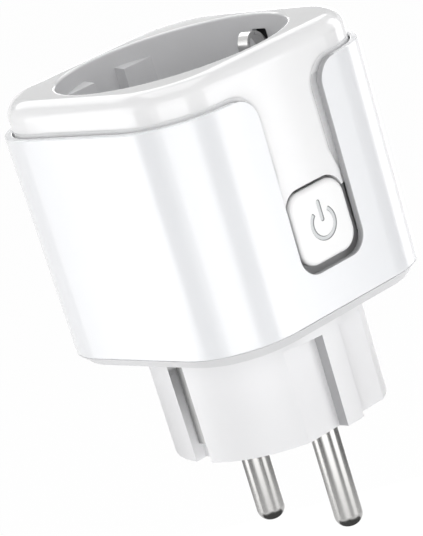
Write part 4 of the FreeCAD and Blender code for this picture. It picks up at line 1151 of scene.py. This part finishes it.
class METER_OT_plug_pins(Operator):
    """Build the two nickel plated pins with their domed tips"""
    bl_idname = "power_meter.plug_pins"
    bl_label = "Plug pins"

    def execute(self, context):
        plug = context.scene.meter_plug
        finish = context.scene.meter_finishes
        nickel = metal("pin nickel", finish.nickel, 0.24, spread=0.04, depth=0.04, tarnish=0.93)
        for name, node, side in (("pin_left", "pin_line", -1), ("pin_right", "pin_neutral", 1)):
            bm = bmesh.new()
            turn(bm, pin_profile(plug), 64, (side * plug.pin_place, 0.0))
            make_piece(bm, name, [nickel], [node])
        return {"FINISHED"}


def sign_ring(button, inset):
    """The outline of the sign's open ring with rounded ends, drawn in by an inset."""
    stroke = button.sign_stroke - 2 * inset
    inner = button.sign_radius - stroke / 2
    outer = button.sign_radius + stroke / 2
    opening = button.sign_opening + inset / button.sign_radius
    start = [(button.face, 0, button.sign_middle + inner), (button.face, 0, button.sign_middle + outer)]
    band = bmesh.new()
    edge = add_chain(band, start)
    centre = (button.face, 0, button.sign_middle)
    bmesh.ops.rotate(band, cent=centre, matrix=Matrix.Rotation(opening, 3, "X"), verts=band.verts)
    bmesh.ops.spin(band, geom=edge + verts_of(edge), cent=centre, axis=(1, 0, 0),
                   angle=2 * math.pi - 2 * opening, steps=72, use_duplicate=False)
    round_ends(band, stroke)
    return band


def sign_bar(button, inset):
    """The outline of the sign's bar with rounded ends, drawn in by an inset."""
    half = button.sign_stroke / 2 - inset
    low, high = button.bar_foot + inset, button.bar_top - inset
    band = bmesh.new()
    corners = ((-half, low), (half, low), (half, high), (-half, high))
    add_polygon(band, [(button.face, y, z) for y, z in corners])
    round_ends(band, 2 * half)
    return band


def round_ends(band, stroke):
    """Round a band's two ends and keep only its outline."""
    ends = [vert for vert in band.verts if len(vert.link_edges) == 2]
    bmesh.ops.dissolve_faces(band, faces=band.faces[:])
    ends = [vert for vert in band.verts if vert in ends]
    round_verts(band, ends, stroke * 0.49, 6)


def button_face(bm, button):
    """The cap's outline, extruded back, with its front face left out."""
    low, high = button.middle - button.half_height, button.middle + button.half_height
    side, x = button.half_width, button.face
    corners = [(x, -side, low), (x, side, low), (x, side, high), (x, -side, high)]
    add_polygon(bm, corners)
    round_corners(bm, corners, button.corner, ARC_STEPS)
    raise_faces(bm, bm.faces[:], (-button.depth, 0, 0))
    bevel_edges(bm, edges_at(bm.edges, 0, x), button.bevel, 5)
    face = max(bm.faces, key=lambda item: (round(item.calc_center_median().x, 7), item.calc_area()))
    outline = list(face.edges)
    bmesh.ops.delete(bm, geom=[face], context="FACES_ONLY")
    return outline


def add_outline(bm, band):
    """Copy a flat band's outline into a mesh and give the copied edges."""
    bmesh.ops.delete(band, geom=band.faces[:], context="FACES_ONLY")
    return take_in(bm, band)


def cut_sign(bm, outline, floor, depth):
    """Sink one outline of the sign into the face with sloping walls in painted shade, and close its
    floor.
    """
    bmesh.ops.translate(bm, vec=(-depth, 0, 0), verts=verts_of(floor))
    for edge in outline + floor:
        edge.smooth = False
    for face in bmesh.ops.bridge_loops(bm, edges=outline + floor)["faces"]:
        face.material_index = 2
    for face in fill_between(bm, floor):
        face.material_index = 1


class METER_OT_button(Operator):
    """Build the push button with the power sign cut into its face"""
    bl_idname = "power_meter.button"
    bl_label = "Push button"

    def execute(self, context):
        button = context.scene.meter_button
        finish = context.scene.meter_finishes
        white = plastic("button white", finish.button, 0.22, grain=4200.0, depth=0.05, spread=0.05)
        grey = plastic("sign grey", finish.sign, 0.5, grain=4200.0, depth=0.2)
        # painted shade: the groove's sloping walls take a dark grey in place of their shade
        dark = plastic("sign groove painted shade", finish.sign_painted_shade, 0.5, grain=4200.0, depth=0.2)
        bm = bmesh.new()
        outline = button_face(bm, button)
        shapes = []
        for shape in (sign_ring, sign_bar):
            insets = (0.0, button.sign_slope)
            shapes.append([add_outline(bm, shape(button, inset)) for inset in insets])
        fill_between(bm, outline + shapes[0][0] + shapes[1][0])
        for edges, floor in shapes:
            cut_sign(bm, edges, floor, button.sign_depth)
        piece = make_piece(bm, "button_cap", [white, grey, dark], ["power_button"],
                           body="button")
        keep_flats(piece)
        return {"FINISHED"}


def guide_block(bm, middle, half, front, rear):
    """A square block with rounded corners between two places on the X axis."""
    corners = [(front, y * half, middle + z * half) for y, z in ((-1, -1), (1, -1), (1, 1), (-1, 1))]
    add_polygon(bm, corners)
    round_corners(bm, corners, 1.6 * MM, 6)
    region = [face for face in bm.faces if all(abs(vert.co.x - front) < SEAM for vert in face.verts)]
    raise_faces(bm, region, (rear - front, 0, 0))


class METER_OT_button_guide(Operator):
    """Build the shank and the stop behind the button's cap"""
    bl_idname = "power_meter.button_guide"
    bl_label = "Button guide"

    def execute(self, context):
        button = context.scene.meter_button
        finish = context.scene.meter_finishes
        white = plastic("button inner white", finish.button, 0.4, depth=0.15)
        bm = bmesh.new()
        back = button.face - button.depth
        foot = BUTTON_LOW.x
        guide_block(bm, button.middle, 4.0 * MM, back + 0.05 * MM, foot + 0.85 * MM)
        guide_block(bm, button.middle, 5.2 * MM, foot + 0.9 * MM, foot)
        piece = make_piece(bm, "button_guide", [white], ["power_button"], body="button")
        soften(piece, 0.15 * MM)
        return {"FINISHED"}


def smooth_path(points, steps=8):
    """A smooth curve that starts and ends at a path's ends and is drawn towards its corners."""
    path = [Vector(point) for point in points]
    middles = [(first + second) / 2 for first, second in zip(path, path[1:])]
    curve = [path[0]]
    for start, corner, end in zip(middles, path[1:-1], middles[1:]):
        for step in range(steps):
            share = step / (steps - 1)
            curve.append(start.lerp(corner, share).lerp(corner.lerp(end, share), share))
    curve.append(path[-1])
    return curve


def clip_path(socket):
    """An earth clip's middle line, from its root behind the wall up and over into the recess."""
    wall, top = socket.radius, socket.window_top
    low = CLIP_LOW.z + socket.clip_thickness / 2
    root = wall - 1.2 * MM
    return [(root - 3.6 * MM, low), (root, low), (root, low + 4.2 * MM),
            (wall - 5.0 * MM, top - 2.9 * MM), (wall - 3.5 * MM, top + 0.9 * MM),
            (wall - 0.6 * MM, top - 0.1 * MM), (wall + 0.5 * MM, top - 3.7 * MM)]


class METER_OT_earth_clips(Operator):
    """Build the two spring clips that arch into the recess through its windows"""
    bl_idname = "power_meter.earth_clips"
    bl_label = "Earth clips"

    def execute(self, context):
        socket = context.scene.meter_socket
        spring = metal("clip nickel", context.scene.meter_finishes.spring, 0.2, stretch=(1.0, 0.2, 0.05))
        half = socket.clip_width / 2
        curve = smooth_path(clip_path(socket))
        clips = (("clip_front", "earth_clip_left", -1), ("clip_rear", "earth_clip_right", 1))
        for name, node, side in clips:
            bm = bmesh.new()
            chain = add_chain(bm, [(-half, side * point.x, point.y) for point in curve])
            push(bm, chain, (2 * half, 0, 0))
            bmesh.ops.recalc_face_normals(bm, faces=bm.faces)
            bmesh.ops.solidify(bm, geom=bm.faces[:], thickness=socket.clip_thickness)
            piece = make_piece(bm, name, [spring], [node])
            soften(piece, 0.12 * MM, angle=50.0)
        return {"FINISHED"}


class METER_OT_metal_parts(Operator):
    """Dress the earth parts, the socket's contacts, the bars and the screws"""
    bl_idname = "power_meter.metal_parts"
    bl_label = "Metal parts"

    def execute(self, context):
        finish = context.scene.meter_finishes
        strap = metal("rolled nickel", finish.strap, 0.45, stretch=(1.0, 1.0, 0.05))
        copper = metal("tinned copper alloy", finish.copper, 0.34, stretch=(0.1, 1.0, 1.0))
        steel = metal("zinc plated steel", finish.steel, 0.30, stretch=(1.0, 1.0, 0.3))
        dress_nodes(strap, "earth_strap_left", "earth_strap_right")
        dress_nodes(copper, "contact_line", "contact_neutral", "line_bus", "neutral_bus",
                    "earth_bridge", "metering_shunt")
        dress_nodes(steel, "housing_screws", "module_shield")
        return {"FINISHED"}


class METER_OT_electronics(Operator):
    """Dress the boards and what stands on them"""
    bl_idname = "power_meter.electronics"
    bl_label = "Electronics"

    def execute(self, context):
        finish = context.scene.meter_finishes
        board = plastic("board green", finish.board, 0.38, grain=1500.0, depth=0.3, shade=0.7)
        dress_nodes(board, "main_board", "button_board", "wireless_module")
        dress_nodes(plastic("relay case", (0.02, 0.10, 0.32), 0.35), "relay")
        black = plastic("part black", (0.02, 0.02, 0.022), 0.45, shade=0.8)
        dress_nodes(black, "metering_chip", "supply_chip", "bridge_rectifier", "tact_switch")
        can = metal("capacitor can", (0.70, 0.71, 0.73), 0.28)
        dress_nodes(can, "input_capacitor", "output_capacitor")
        ferrite = plastic("ferrite", (0.055, 0.052, 0.05), 0.7, grain=2500.0, depth=0.6, shade=0.7)
        dress_nodes(ferrite, "supply_inductor")
        blue = plastic("varistor blue", (0.03, 0.12, 0.42), 0.3, grain=900.0, depth=0.5)
        dress_nodes(blue, "varistor")
        green = plastic("resistor green", (0.10, 0.30, 0.16), 0.4, grain=900.0, depth=0.5)
        dress_nodes(green, "fusible_resistor")
        dress_nodes(plastic("lamp clear", (0.80, 0.84, 0.88), 0.15), "indicator_led")
        frame_grey = plastic("frame grey", (0.55, 0.55, 0.56), 0.45, depth=0.25)
        dress_nodes(frame_grey, "switch_plunger", "button_frame")
        return {"FINISHED"}


# ---- stage -----------------------------------------------------------------------------------------

def see_white(tree, seen, lit, kind):
    """Mix a lit shader with a plain white that cameras, mirrors and glass see."""
    paths = tree.nodes.new("ShaderNodeLightPath")
    first = add_math(tree, "MAXIMUM", paths.outputs["Is Camera Ray"], paths.outputs["Is Glossy Ray"])
    either = add_math(tree, "MAXIMUM", first, paths.outputs["Is Transmission Ray"])
    share = add_math(tree, "MULTIPLY", either, seen)
    white = tree.nodes.new(kind)
    white.inputs["Color"].default_value = (1.0, 1.0, 1.0, 1.0)
    white.inputs["Strength"].default_value = 1.0
    mix = tree.nodes.new("ShaderNodeMixShader")
    tree.links.new(share, mix.inputs["Fac"])
    tree.links.new(lit, mix.inputs[1])
    tree.links.new(white.outputs[0], mix.inputs[2])
    return mix.outputs["Shader"]


def add_floor(settings):
    """A plain pale floor under the meter."""
    bm = bmesh.new()
    bmesh.ops.create_grid(bm, x_segments=1, y_segments=1, size=settings.floor_size / 2)
    bmesh.ops.translate(bm, vec=(0, 0, settings.floor_height), verts=bm.verts)
    mesh = new_mesh(bm, "studio_floor")
    floor = link_object("studio_floor", mesh)
    material, tree, shader = new_material("floor paper")
    place_group(tree, "Moulded surface", shader, {
        "Colour": (0.9, 0.9, 0.9, 1.0), "Shade": (0.89, 0.89, 0.89, 1.0), "Grain": 300.0,
        "Roughness": 0.9, "Spread": 0.05, "Depth": 0.05})
    seen = see_white(tree, 0.985, shader.outputs["BSDF"], "ShaderNodeEmission")
    tree.links.new(seen, node_of(tree, "OUTPUT_MATERIAL").inputs["Surface"])
    mesh.materials.append(material)


def add_world(settings):
    """A white room that fills the shadows."""
    world = bpy.data.worlds.new("studio room")
    world.use_nodes = True
    tree = world.node_tree
    room = node_of(tree, "BACKGROUND")
    room.inputs["Color"].default_value = (1.0, 1.0, 1.0, 1.0)
    room.inputs["Strength"].default_value = settings.fill_strength
    seen = see_white(tree, 1.0, room.outputs["Background"], "ShaderNodeBackground")
    tree.links.new(seen, node_of(tree, "OUTPUT_WORLD").inputs["Surface"])
    bpy.context.scene.world = world


def add_lamp(lamp, target, strength):
    """A rectangular softbox that faces a point; its radiance doesn't depend on its size."""
    data = bpy.data.lights.new(lamp.name, "AREA")
    data.shape = "RECTANGLE"
    data.size = lamp.width
    data.size_y = lamp.height
    data.energy = lamp.radiance * strength * math.pi * lamp.width * lamp.height
    light = link_object(lamp.name, data)
    light.location = lamp.place
    away = Vector(lamp.place) - Vector(target)
    light.rotation_mode = "QUATERNION"
    light.rotation_quaternion = away.to_track_quat("Z", "Y")
    light.visible_camera = False


def add_softbox(box, settings):
    """An upright softbox that stands on the floor and faces the meter."""
    angle = math.radians(box.azimuth)
    low = settings.floor_height + MM
    middle = (low + box.head) / 2
    place = (STAND * math.cos(angle), STAND * math.sin(angle), middle)
    width = 2 * STAND * math.tan(math.radians(box.half_angle))
    lamp = Lamp(box.name, place, width, box.head - low, box.radiance)
    add_lamp(lamp, (0, 0, middle), settings.key_strength)


def add_card(card, stand, blocks_light):
    """An upright grey card that only mirrors see, which gives bright surfaces their darker bands."""
    bm = bmesh.new()
    half = stand * math.tan(math.radians(card.half_angle))
    edge = add_chain(bm, [(stand, -half, card.foot), (stand, half, card.foot)])
    push(bm, edge, (0, 0, card.head - card.foot))
    turned = Matrix.Rotation(math.radians(card.azimuth), 3, "Z")
    bmesh.ops.rotate(bm, cent=(0, 0, 0), matrix=turned, verts=bm.verts)
    show_to_mirrors(bm, card.name, card.grey, blocks_light)


def add_floor_card(settings):
    """A dark sheet on the floor that only mirrors see, which darkens the pins' tips."""
    bm = bmesh.new()
    bmesh.ops.create_grid(bm, x_segments=1, y_segments=1, size=FLOOR_CARD)
    bmesh.ops.translate(bm, vec=(0, 0, settings.floor_height + MM), verts=bm.verts)
    show_to_mirrors(bm, "card below", FLOOR_CARD_GREY, False)


def show_to_mirrors(bm, name, grey, blocks_light):
    """Make a grey panel of the stage that shows in reflections only, and may block the lamps."""
    mesh = new_mesh(bm, name)
    mesh.materials.append(card_material(name + " grey", grey))
    panel = link_object(name, mesh)
    panel.visible_camera = False
    panel.visible_diffuse = False
    panel.visible_transmission = False
    panel.visible_shadow = blocks_light


def card_material(name, grey):
    """A plain glow of one grey, the same from every side."""
    material, tree, shader = new_material(name)
    glow = tree.nodes.new("ShaderNodeEmission")
    glow.inputs["Color"].default_value = (grey, grey, grey, 1.0)
    tree.links.new(glow.outputs["Emission"], node_of(tree, "OUTPUT_MATERIAL").inputs["Surface"])
    tree.nodes.remove(shader)
    return material


def add_camera():
    """The camera, level with the meter's middle and turned a little on its line of sight."""
    data = bpy.data.cameras.new("studio camera")
    data.sensor_width = 36.0
    data.lens = CAMERA_LENS
    data.clip_start = 0.01
    data.clip_end = 50.0
    camera = link_object("studio camera", data)
    right = Vector(CAMERA_RIGHT).normalized()
    back = Vector(CAMERA_BACK).normalized()
    up = back.cross(right).normalized()
    rows = [(*row, 0.0) for row in (right, up, back)]
    camera.matrix_world = Matrix([*rows, (*CAMERA_PLACE, 1.0)]).transposed()
    bpy.context.scene.camera = camera


class METER_OT_stage(Operator):
    """Set up the floor, the room, the softboxes and the camera"""
    bl_idname = "power_meter.stage"
    bl_label = "Stage"

    def execute(self, context):
        settings = context.scene.meter_stage
        add_floor(settings)
        add_world(settings)
        for box in SOFTBOXES:
            add_softbox(box, settings)
        for lamp in HIGH_LAMPS:
            add_lamp(lamp, (0, 0, 0), settings.key_strength)
        for card in CARDS:
            add_card(card, STAND, False)
        for card in LOW_CARDS:
            add_card(card, LOW_STAND, True)
        add_floor_card(settings)
        add_camera()
        context.scene.view_settings.view_transform = "Standard"
        return {"FINISHED"}


class METER_PT_panel(Panel):
    """Lists the steps that build the power meter"""
    bl_idname = "METER_PT_panel"
    bl_label = "Power meter"
    bl_space_type = "VIEW_3D"
    bl_region_type = "UI"
    bl_category = "Power meter"

    def draw(self, context):
        for step in STEPS:
            self.layout.operator(step.bl_idname)


STEPS = (METER_OT_sleeve, METER_OT_cover, METER_OT_cover_skirt, METER_OT_socket_well,
         METER_OT_guide_lugs, METER_OT_earth_clips, METER_OT_plug_base, METER_OT_plug_pins,
         METER_OT_button, METER_OT_button_guide, METER_OT_metal_parts, METER_OT_electronics,
         METER_OT_stage)
SETTINGS = {"meter_housing": HousingSizes, "meter_socket": SocketSizes, "meter_plug": PlugSizes,
            "meter_button": ButtonSizes, "meter_finishes": Finishes, "meter_stage": StageSettings}


def register():
    """Make the settings, the steps and the panel known to Blender."""
    for name, group in SETTINGS.items():
        bpy.utils.register_class(group)
        setattr(bpy.types.Scene, name, PointerProperty(type=group))
    for step in STEPS:
        bpy.utils.register_class(step)
    bpy.utils.register_class(METER_PT_panel)


def unregister():
    """Take the panel, the steps and the settings away again."""
    bpy.utils.unregister_class(METER_PT_panel)
    for step in reversed(STEPS):
        bpy.utils.unregister_class(step)
    for name, group in SETTINGS.items():
        delattr(bpy.types.Scene, name)
        bpy.utils.unregister_class(group)


def main():
    """Build every piece in order."""
    register()
    moulded_group()
    drawn_metal_group()
    bpy.ops.power_meter.sleeve()
    bpy.ops.power_meter.cover()
    bpy.ops.power_meter.cover_skirt()
    bpy.ops.power_meter.socket_well()
    bpy.ops.power_meter.guide_lugs()
    bpy.ops.power_meter.earth_clips()
    bpy.ops.power_meter.plug_base()
    bpy.ops.power_meter.plug_pins()
    bpy.ops.power_meter.button()
    bpy.ops.power_meter.button_guide()
    bpy.ops.power_meter.metal_parts()
    bpy.ops.power_meter.electronics()
    bpy.ops.power_meter.stage()


if __name__ == "__main__":
    main()
